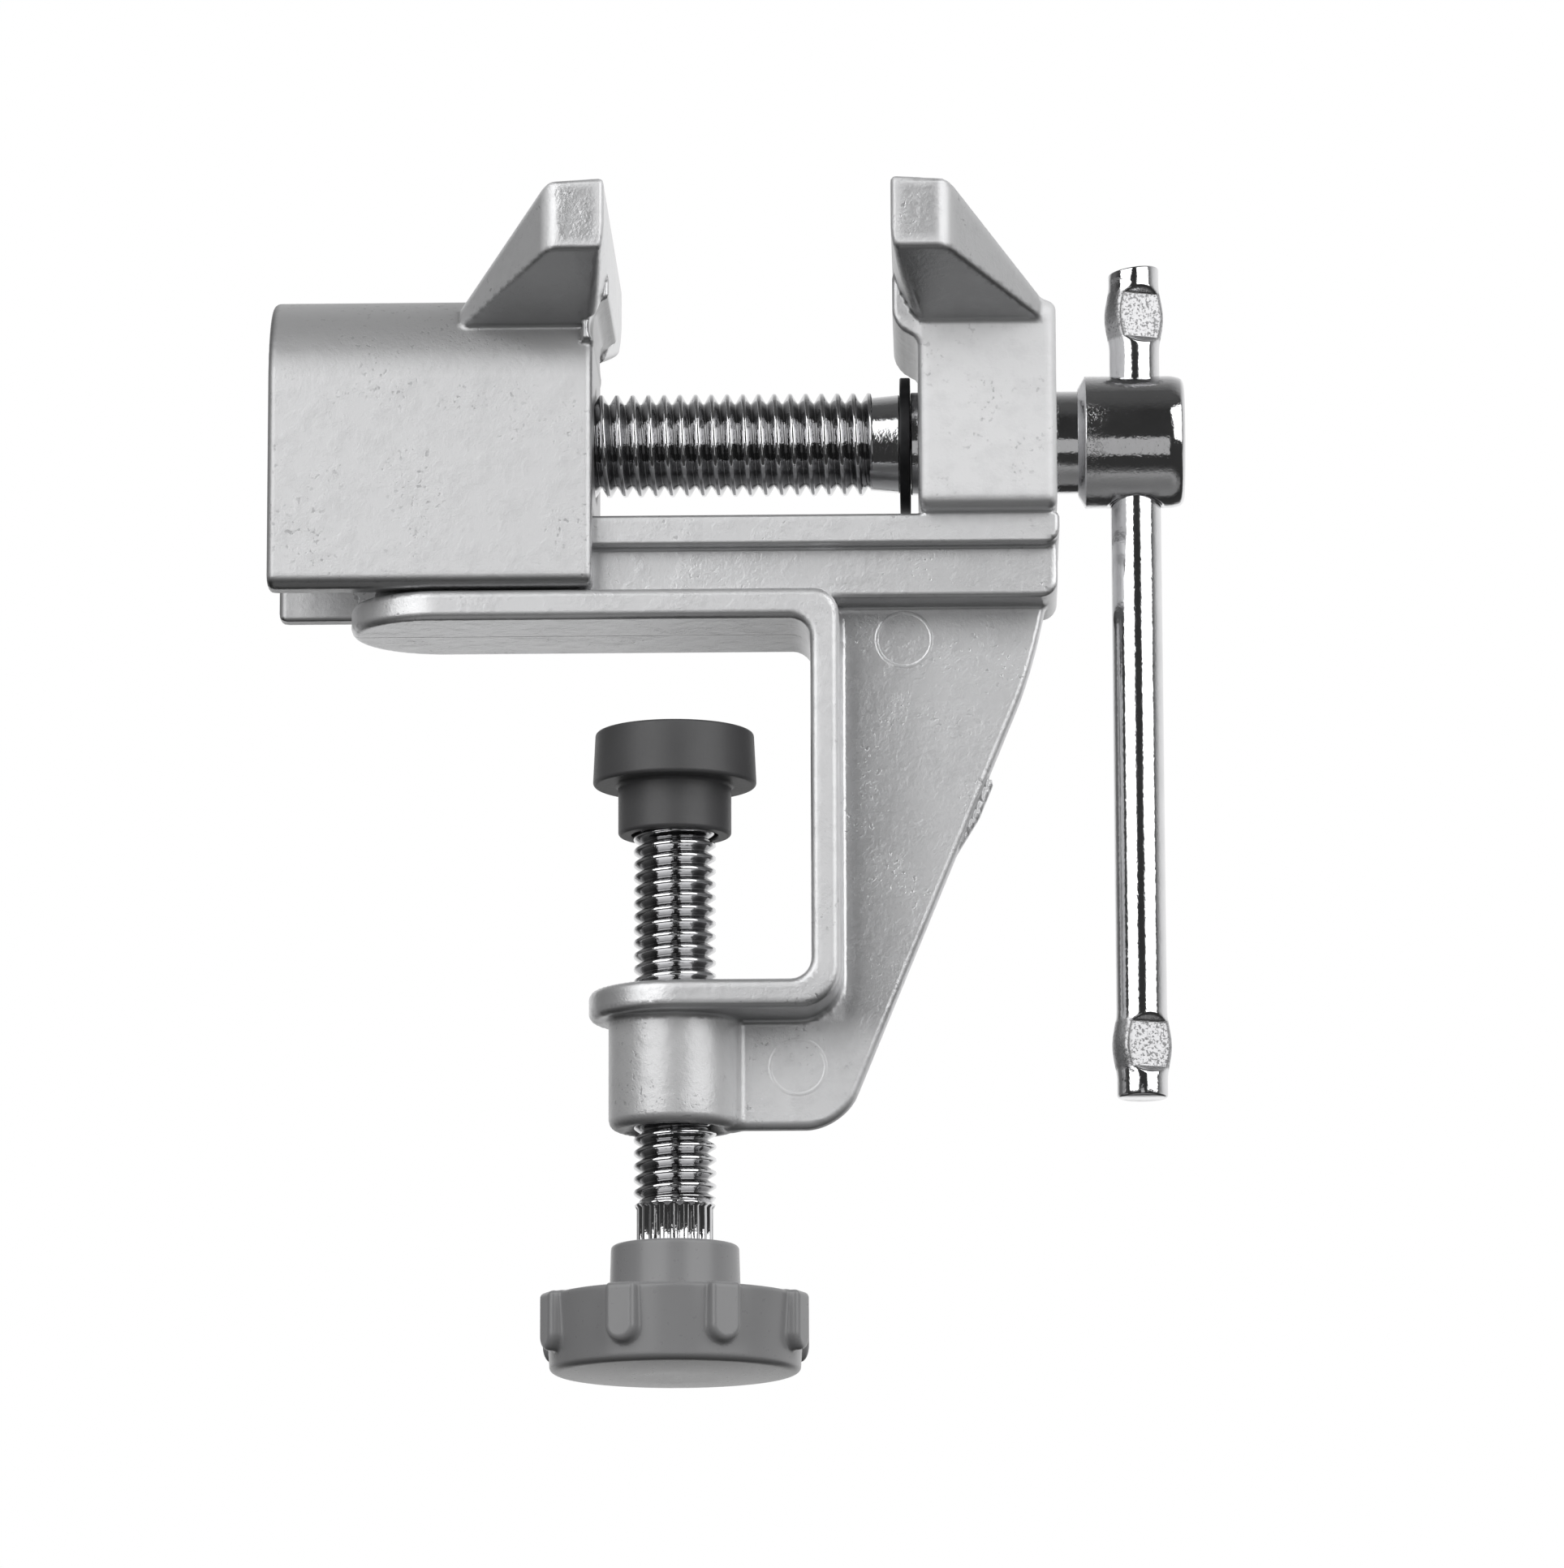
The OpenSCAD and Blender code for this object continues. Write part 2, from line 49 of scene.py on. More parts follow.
# In all names R is a radius or a rounding, D a diameter or depth, W a width and T a thickness.
EDGE_R, FILLET_R = 0.75, 0.5    # the clamp's edges, and the corner between a block and its jaw
THREAD_RIM_R = 0.12             # rims of the tapped holes
LAP, SHORT_LAP = 1.0, 0.5       # how far a form reaches into the one that carries it

# Table clamp
ARM_W, ARM_T, ARM_REACH, LOWER_REACH = 17.0, 2.85, 30.7, 8.1
THROAT_D, THROAT_H, THROAT_R = 13.0, 34.4, 2.0
SPINE_OUTER, LOWER_ARM_BOTTOM = 15.7, -37.2
HEEL_R, SHOULDER_R = 4.0, 2.5
WEB_T, WEB_LEAN, WEB_TOP_R, WEB_FOOT_R = 2.5, math.radians(22.5), 4.0, 3.3
BOSS_D, BOSS_BOTTOM, BOSS_EDGE_R, BOSS_FILLET_R, BOSS_FLARE = 12.5, -47.5, 1.0, 0.6, 0.7
# Stub of the gate on the web's edge
GATE_PROUD, GATE_TOP, GATE_FOOT, GATE_RISE = 0.65, -14.2, -21.4, 3.5
GATE_W, GATE_DEPTH, GATE_EDGE_R = 1.4, 1.5, 0.25

# Rail
RAIL_TOP, FLANGE_BOTTOM, RAIL_BOTTOM = 10.15, 7.15, 2.35
FLANGE_W, RAIL_W, RAIL_INNER, RAIL_OUTER, RAIL_END_R = 14.5, 11.5, 28.0, 36.35, 1.6
FLANGE_PROUD, RAIL_EDGE_R, RAIL_CORNER_R, RAIL_FILLET_R = 0.2, 0.4, 0.3, 0.4

# Blocks
BLOCK_W, MOVING_TOP, FIXED_TOP = 18.4, 32.5, 30.5
BLOCK_EDGE_R, BLOCK_TOP_R, BLOCK_FOOT_R = 1.0, 1.5, 1.5
FIXED_FACE, FIXED_GRIP, FIXED_FOOT = 23.25, 20.9, 14.25
MOVING_FACE, MOVING_GRIP, MOVING_FOOT, MOVING_FOOT_W = -7.45, -5.9, 14.15, 7.52
MOVING_TAIL, MOVING_BOTTOM, MOVING_EDGE_R, MOVING_END_R, SLOT_EDGE_R = -38.15, 3.05, 1.3, 0.7, 0.3
SLOT_W, CHANNEL_W, CHANNEL_BOTTOM, CHANNEL_TOP = 11.9, 14.9, 6.95, 10.35

# Jaws: the band is the upright end of a jaw, the spread is the slope under it
JAW_W, JAW_TOP, BAND_BOTTOM, BAND_T, SPREAD_BOTTOM = 41.8, 39.4, 32.5, 5.2, 28.3
FOOT_TOP, TOP_FALL, JAW_SUNK = 30.4, 0.3, 0.6
JAW_SIDE_R, JAW_TOP_R, JAW_GRIP_R = 0.7, 0.5, 1.0
LIP_TOP, LIP_FOOT, LIP_INSET, LIP_DEPTH = 28.0, 26.7, 0.1, 2.5
LIP_FRONT_R, LIP_SIDE_R, LIP_RIM_R = 1.3, 0.5, 0.3
HOLLOW_OUT, HOLLOW_Z, HOLLOW_R, HOLLOW_RIM_R = 1.1, 28.11, 3.0, 0.2

# Lead screw with its clip, and the bar
SCREW_H, SCREW_R, SCREW_PITCH, SCREW_INNER, SCREW_PHASE = 18.5, 4.9, 1.5, -30.0, 0.61
SCREW_BORE_R, SCREW_BORE_START, SCREW_BORE_RIM_R, SCREW_FLARE = 4.98, 20.0, 0.25, 0.5
TAPER_START, TAPER_TOP_R, GROOVE_START, GROOVE_END, GROOVE_R = 18.46, 4.7, 21.46, 22.54, 3.8
HEAD_FACE, HEAD_END, HEAD_R, HEAD_STEP, HEAD_CHAMFER = 38.4, 48.55, 6.3, 0.15, 0.72
DOME_R, DOME_L, DOME_RIM_R, CRISP_R, CROSS_HOLE_RIM_R, BAR_PLAY = 3.2, 1.6, 0.45, 0.08, 0.3, 0.08
CLIP_FACE, CLIP_T, CLIP_R, CLIP_DROP, CLIP_RING_W = 22.5, 1.0, 6.55, 0.25, 1.6
CLIP_MOUTH_W, CLIP_LUGS, CLIP_PLAY, CLIP_EDGE_R = 6.46, (-62, 180, 62), 0.04, 0.15
BAR_X, BAR_R, BAR_BOTTOM, BAR_TOP, SWAGE_TURN = 43.9, 2.4, -44.70, 35.55, 22

# Clamp screw, pad and knob
CLAMP_R, CLAMP_PITCH, CLAMP_TOP, CLAMP_BOTTOM, CLAMP_BORE_R = 3.9, 1.25, -18.3, -54.5, 3.98
SPLINE_R, SPLINE_COUNT, SPLINE_BOTTOM, FLUTE_DEPTH = 3.6, 20, -68.36, 0.26
BALL_Z, BALL_R, BALL_NECK_R, SOCKET_R, SOCKET_MOUTH_R = -13.88, 3.0, 2.1, 3.08, 2.3
PAD_FACE, PAD_STEP, PAD_FOOT, PAD_BORE_TOP = -9.5, -14.6, -19.4, -18.1
PAD_FACE_R, PAD_RIM_R, PAD_NECK_R, PAD_BORE_R, PAD_EDGE_R = 7.5, 7.75, 5.35, 4.1, 0.35
KNOB_TOP, WHEEL_TOP, KNOB_BOTTOM, KNOB_BORE_FOOT = -58.4, -63.3, -70.8, -68.4
WHEEL_R, WHEEL_TAPER, WHEEL_EDGE_R, WHEEL_FOOT_R = 12.15, 0.45, 0.45, 1.0
HUB_R, HUB_TAPER, HUB_EDGE_R = 6.0, 0.03, 0.4
RIB_COUNT, RIB_TURN, RIB_W, RIB_H, RIB_IN, RIB_OUT = 8, math.radians(23.5 - 90), 3.0, 5.5, 9.0, 13.1

# One turn of a metric thread: share of the pitch, and height above the root as a share of the depth
THREAD_SHARE = 0.6134           # the depth as a share of the pitch
THREAD_HALF = [[0.0, 0.0], [0.03, 0.01], [0.06, 0.05], [0.16, 0.332], [0.26, 0.615], [0.36, 0.897],
               [0.39, 0.955], [0.42, 0.985], [0.46, 0.998], [0.5, 1.0]]
THREAD_SHAPE = np.array(THREAD_HALF + [[1 - share, level] for share, level in THREAD_HALF[-2:0:-1]])

# Ejector pins' rings on the web: X and Z of their middles, and their radius
EJECTOR_RINGS, EJECTOR_R = ((21.8, -0.8), (11.6, -41.7)), 2.6

# Studio. The world's ramps go from straight down at 0 to straight up at 1, and BACK_SHARE round the object.
BACK_GLOW = [(0.0, 0.20), (0.06, 0.25), (0.10, 0.03), (0.27, 0.05), (0.33, 0.50), (0.37, 1.1), (0.60, 1.1),
             (0.70, 1.0), (0.80, 0.80), (0.87, 0.62), (0.95, 0.40), (1.0, 0.15)]
FRONT_GLOW = [(0.0, 0.20), (0.03, 0.35), (0.055, 0.10), (0.09, 0.04), (0.46, 0.04), (0.85, 0.03),
              (0.94, 0.08), (1.0, 0.10)]
BACK_SHARE = [(0.0, 0.93), (0.07, 0.90), (0.11, 0.45), (0.15, 0.10), (0.22, 0.12), (0.31, 0.0), (0.70, 0.0),
              (0.74, 0.28), (0.80, 0.75), (0.86, 0.88), (1.0, 0.93)]
STUDIO_MIDDLE, LIGHT_REACH = (0.005, 0, -0.015), 0.8
# Name, degrees right of the front, metres above the middle, width, height and watts
LIGHTS = (("left_box", -36.5, 0.33, 0.77, 0.9, 4.7), ("right_box", 46.5, 0.33, 0.8, 0.9, 4.7),
          ("low_card", 2.0, -0.26, 0.2, 0.45, 0.13))
FLOOR_REACH, FLOOR_LEVEL = 3.0, -0.0862


def meet(a, b, r):
    """Signed distance of the part that two solids share, its edge rounded with radius r:
    the larger distance, replaced by the distance from an arc of radius r where both are above -r."""
    return np.minimum(-r, np.maximum(a, b)) + np.hypot(np.maximum(r + a, 0), np.maximum(r + b, 0))


def join(a, b, r):
    """Signed distance of two solids together, the corner between them filled with radius r:
    the smaller distance, replaced by the distance from an arc of radius r where both are below r."""
    return np.maximum(r, np.minimum(a, b)) - np.hypot(np.maximum(r - a, 0), np.maximum(r - b, 0))


def slope(u, z, point, other):
    """Signed distance of the half plane to the left of the line from point to other."""
    along_u, along_z = other[0] - point[0], other[1] - point[1]
    return ((u - point[0]) * along_z - (z - point[1]) * along_u) / math.hypot(along_u, along_z)


def jaw_solid(u, y, z, foot_u, foot_w, lip):
    """Signed distance of a jaw, u being the depth behind its gripping face: planes for the grip, the top,
    the ends, the underside that rises outwards, the face under the grip, and the back and its sides
    that slope to the block and end there."""
    half_w = JAW_W / 2
    ay = np.abs(y)
    top = slope(u, z, (BAND_T, JAW_TOP - TOP_FALL), (0, JAW_TOP))
    under = slope(ay, z, (foot_w, SPREAD_BOTTOM), (half_w, BAND_BOTTOM))
    back = slope(u, z, (foot_u, FOOT_TOP), (BAND_T, JAW_TOP))
    side = slope(u, ay, (foot_u, foot_w), (BAND_T, half_w))
    front = slope(u, z, (0, BAND_BOTTOM), (lip, SPREAD_BOTTOM))
    flank = meet(side, back, JAW_SIDE_R)
    body = meet(flank, ay - half_w, JAW_SIDE_R)
    body = np.maximum(meet(body, top, JAW_TOP_R), u - foot_u)
    grip = meet(-u, front, JAW_GRIP_R)
    below = meet(grip, under, JAW_SIDE_R)
    below = np.maximum(below, SPREAD_BOTTOM - JAW_SUNK - z)
    return meet(body, below, JAW_TOP_R)


def clamp_field(x, y, z):
    """Signed distance of the C clamp: the outline of its arms and spine less the throat, cut to the arms'
    plan with its round tips."""
    outline = meet(x - SPINE_OUTER, z - ARM_T, SHOULDER_R)
    outline = meet(outline, LOWER_ARM_BOTTOM - z, HEEL_R)
    throat = meet(x - THROAT_D, np.abs(z + THROAT_H / 2) - THROAT_H / 2, THROAT_R)
    outline = np.maximum(outline, -throat)
    tip = np.where(z > -THROAT_H / 2, ARM_W / 2 - ARM_REACH, ARM_W / 2 - LOWER_REACH)
    plan = np.hypot(np.minimum(x - tip, 0), y) - ARM_W / 2
    return meet(outline, plan, EDGE_R)


def web_field(x, y, z):
    """Signed distance of the web: a thin plate behind the spine and under the rail that a leaning line ends,
    with the stub of the gate rising on that line."""
    ay = np.abs(y)
    lean_x = RAIL_OUTER - WEB_TOP_R + WEB_TOP_R * math.cos(WEB_LEAN)
    lean_z = ARM_T - WEB_TOP_R * math.sin(WEB_LEAN)
    lean = (x - lean_x) * math.cos(WEB_LEAN) - (z - lean_z) * math.sin(WEB_LEAN)
    web = meet(meet(x - RAIL_OUTER, lean, WEB_TOP_R), BOSS_BOTTOM - z, WEB_FOOT_R)
    inner = np.minimum(THROAT_D + LAP - x, np.maximum(z - LOWER_ARM_BOTTOM - LAP, -x))
    web = np.maximum(np.maximum(web, inner), z - RAIL_BOTTOM - LAP)
    web = meet(web, ay - WEB_T / 2, EDGE_R)
    gate = lean - GATE_PROUD * np.clip((z - GATE_FOOT) / GATE_RISE, 0, 1)
    gate = meet(np.maximum(gate, -lean - GATE_DEPTH), ay - GATE_W / 2, GATE_EDGE_R)
    return np.minimum(web, np.maximum(gate, np.maximum(z - GATE_TOP, GATE_FOOT - z)))


def rail_field(x, y, z):
    """Signed distance of the T rail: a flange on a narrower stem, both rounded at their outer ends."""
    ay = np.abs(y)
    stem = meet(meet(x - RAIL_OUTER, RAIL_BOTTOM - z, RAIL_END_R), ay - RAIL_W / 2, RAIL_EDGE_R)
    stem = np.maximum(np.maximum(stem, -RAIL_INNER - x), z - FLANGE_BOTTOM - LAP)
    flange = meet(x - RAIL_OUTER - FLANGE_PROUD, FLANGE_BOTTOM - z, RAIL_END_R)
    flange = meet(meet(flange, z - RAIL_TOP, RAIL_EDGE_R), ay - FLANGE_W / 2, RAIL_EDGE_R)
    flange = meet(flange, -RAIL_INNER - x, RAIL_EDGE_R)
    return join(stem, flange, RAIL_CORNER_R)


def fixed_head_field(x, y, z):
    """Signed distance of the fixed block, its jaw, and the lip under the grip, which is as wide as the block
    and slopes back to its face."""
    ay = np.abs(y)
    middle, half_l = (FIXED_FACE + RAIL_OUTER) / 2, (RAIL_OUTER - FIXED_FACE) / 2
    section = meet(ay - BLOCK_W / 2, z - FIXED_TOP, BLOCK_TOP_R)
    section = meet(section, RAIL_TOP - z, BLOCK_FOOT_R)
    block = meet(np.abs(x - middle) - half_l, section, BLOCK_EDGE_R)
    depth = x - FIXED_GRIP
    lip_l = FIXED_FACE - FIXED_GRIP
    jaw = jaw_solid(depth, y, z, FIXED_FOOT, BLOCK_W / 2, lip_l)
    lip = meet(-depth, slope(depth, z, (0, LIP_TOP), (lip_l, LIP_FOOT)), LIP_FRONT_R)
    lip = meet(lip, ay - BLOCK_W / 2 + LIP_INSET, LIP_SIDE_R)
    lip = np.maximum(np.maximum(lip, depth - lip_l - SHORT_LAP), z - BAND_BOTTOM - SHORT_LAP)
    return join(block, np.minimum(jaw, lip), FILLET_R)


def vise_frame_field(x, y, z):
    """Signed distance of the frame: clamp, boss, web, rail and fixed head joined with fillets, less the lead
    screw's bore and the clamp screw's tapped hole. The hole flares at its foot, where its distance is
    scaled to stay a fair one."""
    flare_scale, hole_run = 0.8, 3
    boss = meet(np.hypot(x, y) - BOSS_D / 2, BOSS_BOTTOM - z, BOSS_EDGE_R)
    boss = np.maximum(boss, z - LOWER_ARM_BOTTOM - LAP)
    solid = join(clamp_field(x, y, z), boss, BOSS_FILLET_R)
    solid = join(solid, web_field(x, y, z), BOSS_FILLET_R)
    solid = join(solid, rail_field(x, y, z), RAIL_FILLET_R)
    solid = join(solid, fixed_head_field(x, y, z), RAIL_FILLET_R)
    bore = np.hypot(y, z - SCREW_H) - SCREW_BORE_R
    bore = np.maximum(bore, SCREW_BORE_START - x)
    tapped = np.hypot(x, y) - CLAMP_BORE_R
    flare = np.maximum(0, BOSS_FLARE - (z - BOSS_BOTTOM))
    tapped = np.maximum((tapped - flare) * flare_scale, z + THROAT_H - hole_run)
    return meet(meet(solid, -bore, SCREW_BORE_RIM_R), -tapped, THREAD_RIM_R)


def arch_side(y, z):
    """Signed distance from the moving block's section: upright sides under a half circle."""
    arch_z = MOVING_TOP - BLOCK_W / 2
    return np.where(z > arch_z, np.hypot(y, z - arch_z), np.abs(y)) - BLOCK_W / 2


def moving_jaw_field(x, y, z):
    """Signed distance of the moving jaw: an arch on two legs along X with the slot for the rail cut out,
    joined to its jaw, whose lower front edge is a round hollow, less the tapped hole. The hole flares at
    both ends, where its distance is scaled to stay a fair one."""
    flare_scale = 0.85
    ay = np.abs(y)
    section = meet(arch_side(y, z), MOVING_BOTTOM - z, MOVING_EDGE_R)
    slot = np.maximum(ay - SLOT_W / 2, z - CHANNEL_BOTTOM - LAP)
    channel = np.maximum(ay - CHANNEL_W / 2, np.abs(z - (CHANNEL_BOTTOM + CHANNEL_TOP) / 2)
                         - (CHANNEL_TOP - CHANNEL_BOTTOM) / 2)
    section = meet(section, -np.minimum(slot, channel), SLOT_EDGE_R)
    middle, half_l = (MOVING_TAIL + MOVING_FACE) / 2, (MOVING_FACE - MOVING_TAIL) / 2
    block = meet(section, np.abs(x - middle) - half_l, MOVING_END_R)
    depth = MOVING_GRIP - x
    jaw = jaw_solid(depth, y, z, MOVING_FOOT, MOVING_FOOT_W, MOVING_GRIP - MOVING_FACE)
    lip = np.maximum(np.maximum(-depth, depth - LIP_DEPTH),
                     np.maximum(LIP_FOOT - z, z - BAND_BOTTOM - SHORT_LAP))
    head = np.minimum(jaw, meet(lip, ay - BLOCK_W / 2 + LIP_INSET, LIP_RIM_R))
    hollow = np.hypot(depth + HOLLOW_OUT, z - HOLLOW_Z) - HOLLOW_R
    head = meet(head, -np.maximum(hollow, ay - BLOCK_W / 2 + LIP_INSET), HOLLOW_RIM_R)
    solid = join(block, head, FILLET_R)
    bore = np.hypot(y, z - SCREW_H) - SCREW_BORE_R
    flare = np.maximum(0, SCREW_FLARE - np.minimum(MOVING_FACE - x, x - MOVING_TAIL))
    return meet(solid, -(bore - flare) * flare_scale, THREAD_RIM_R)


def screw_head_field(x, y, z):
    """Signed distance of the lead screw's head: a cylinder about X with a steep chamfer at its inner end
    and a round dome that starts shortly before its outer end, less the cross hole."""
    radius = np.hypot(y, z - SCREW_H)
    inner = slope(x, radius, (HEAD_FACE, SCREW_R + HEAD_STEP), (HEAD_FACE + HEAD_CHAMFER, HEAD_R))
    side = np.hypot(np.maximum(x - HEAD_END + DOME_L, 0), np.maximum(radius - HEAD_R + DOME_R, 0)) - DOME_R
    body = meet(meet(side, x - HEAD_END, DOME_RIM_R), -inner, CRISP_R)
    body = meet(body, HEAD_FACE - x, CRISP_R)
    hole = np.hypot(x - BAR_X, y) - BAR_R - BAR_PLAY
    return meet(body, -hole, CROSS_HOLE_RIM_R)


def clip_field(x, y, z):
    """Signed distance of the snap ring: a flat ring that hangs a little low, with three lugs that reach
    into the groove, less its round seat and its mouth at the back."""
    corner_r, mouth_r, seat_r = 0.3, 0.3, 0.1
    up = z - SCREW_H
    radius = np.hypot(y, up)
    low_radius = np.hypot(y, up + CLIP_DROP)
    ring = np.maximum(low_radius - CLIP_R, CLIP_R - CLIP_RING_W - low_radius)
    for angle in CLIP_LUGS:
        a = math.radians(angle)
        along, aside = y * math.cos(a) + up * math.sin(a), up * math.cos(a) - y * math.sin(a)
        lug = np.maximum(np.maximum(np.abs(aside) - CLIP_RING_W, -along), along - CLIP_R + CLIP_RING_W / 2)
        ring = join(ring, lug, corner_r)
    mouth = np.maximum(np.abs(up) - CLIP_MOUTH_W / 2, -y)
    plate = meet(meet(ring, -mouth, mouth_r), GROOVE_R + CLIP_PLAY - radius, seat_r)
    return meet(plate, np.abs(x - CLIP_FACE + CLIP_T / 2) - CLIP_T / 2, CLIP_EDGE_R)


def knob_field(x, y, z):
    """Signed distance of the knob: a wheel that tapers downwards and has a shallow cone for a foot, a hub on
    top, and ribs that are upright bars with round lower ends, less the blind bore for the shank."""
    foot_rise, foot_r, rib_r, bore_play = 0.35, 11.2, RIB_W / 2, 0.04
    radius = np.hypot(x, y)
    taper = WHEEL_TAPER / (WHEEL_TOP - KNOB_BOTTOM)
    wheel_side = (radius - WHEEL_R - taper * (z - WHEEL_TOP)) / math.hypot(1, taper)
    wheel = meet(meet(wheel_side, z - WHEEL_TOP, WHEEL_EDGE_R), KNOB_BOTTOM - z, WHEEL_FOOT_R)
    foot = 1.1 * (KNOB_BOTTOM + foot_rise - z) + 0.12 * (radius - foot_r)
    wheel = meet(wheel, foot, 0.5)
    hub = meet(radius - HUB_R - HUB_TAPER * (KNOB_TOP - z), z - KNOB_TOP, HUB_EDGE_R)
    hub = np.maximum(hub, WHEEL_TOP - LAP - z)
    sector = TURN / RIB_COUNT
    angle = np.mod(np.arctan2(y, x) - RIB_TURN + sector / 2, sector) - sector / 2
    along, aside = radius * np.cos(angle), radius * np.sin(angle)
    bar = np.hypot(aside, np.minimum(z - (WHEEL_TOP - RIB_H + rib_r), 0)) - rib_r
    bar = meet(bar, z - WHEEL_TOP, WHEEL_EDGE_R)
    rib = meet(bar, np.maximum(along - RIB_OUT, RIB_IN - along), 0.55)
    solid = join(wheel, rib, 0.3)
    solid = join(solid, hub, 0.5)
    bore = np.maximum(radius - SPLINE_R - bore_play, KNOB_BORE_FOOT - z)
    return meet(solid, -bore, 0.15)


def gradient(field, points):
    """Slope of the field at points, from its difference over a short step each way along every axis."""
    step = 0.01
    slopes = np.empty_like(points)
    for axis in range(3):
        ahead, behind = points.copy(), points.copy()
        ahead[:, axis] += step
        behind[:, axis] -= step
        slopes[:, axis] = (field(*ahead.T) - field(*behind.T)) / (2 * step)
    return slopes


def skin(field, low, high, step):
    """Surface where a field is zero, as points, quads and normals. Every grid cell that the surface crosses
    gets a point at the mean of its crossings, every grid edge that it crosses gets the quad of the four cells
    round that edge, and each point then moves down the field's slope onto the surface."""
    axes = [np.arange(a - 2.3 * step, b + 3 * step, step) for a, b in zip(low, high)]
    value = field(*np.meshgrid(*[a.astype(np.float32) for a in axes], indexing="ij", sparse=True))
    inside = value < 0
    cells = [n - 1 for n in value.shape]
    ids, spots = [], []
    for axis in range(3):
        one, two = (axis + 1) % 3, (axis + 2) % 3
        lower = [slice(None)] * 3
        upper = [slice(None)] * 3
        lower[axis], upper[axis] = slice(None, -1), slice(1, None)
        at = np.argwhere(inside[tuple(lower)] != inside[tuple(upper)])
        before = value[tuple(at.T)]
        leaving = before < 0
        beyond = at.copy()
        beyond[:, axis] += 1
        share = before / (before - value[tuple(beyond.T)])
        spot = np.stack([axes[k][at[:, k]] for k in range(3)], 1)
        spot[:, axis] += share * step
        ring = []
        for a, b in ((-1, -1), (0, -1), (0, 0), (-1, 0)):
            cell = at.copy()
            cell[:, one] += a
            cell[:, two] += b
            ring.append((cell[:, 0] * cells[1] + cell[:, 1]) * cells[2] + cell[:, 2])
        ring = np.stack(ring, 1)
        ring[~leaving] = ring[~leaving, ::-1]
        ids.append(ring)
        spots.append(np.repeat(spot[:, None], 4, 1))
    ids, spots = np.concatenate(ids), np.concatenate(spots)
    used, quads = np.unique(ids, return_inverse=True)
    quads = quads.reshape(ids.shape)
    count = np.bincount(quads.ravel(), minlength=len(used))
    points = np.stack([np.bincount(quads.ravel(), spots[..., k].ravel()) / count for k in range(3)], 1)
    for _ in range(4):
        slopes = gradient(field, points)
        move = slopes * (field(*points.T) / np.maximum((slopes ** 2).sum(1), 0.05))[:, None]
        points -= move * np.minimum(1, step / np.maximum(np.linalg.norm(move, axis=1), 1e-9))[:, None]
    return points, quads, gradient(field, points)


def ease(value, start, end):
    """Share of the way from start to end, held between 0 and 1."""
    return np.clip((value - start) / (end - start), 0, 1)


def shift(value, share, aim):
    """A value moved by a share of its way to an aim."""
    return value + share * (aim - value)


def unit(vectors):
    """Vectors at length 1."""
    return vectors / np.maximum(np.linalg.norm(vectors, axis=1, keepdims=True), 1e-9)


def end_rim(depth, y, z, nx, ny):
    """How near a point of a jaw's end is to the end face's outline, depth being the distance behind the
    grip: 1 at the edge falling to 0 at 1.1 mm, and 1 on the rounded edge beside the face."""
    inset = np.minimum.reduce([depth, BAND_T - depth, z - BAND_BOTTOM, JAW_TOP - z])
    border = ease(inset, 1.1, 0.5) * ease(np.abs(ny), 0.6, 0.9)
    edge = ease(np.abs(nx), 0.15, 0.35) * ease(np.abs(y), JAW_W / 2 - 1.2, JAW_W / 2 - 0.6)
    return np.maximum(border, edge)


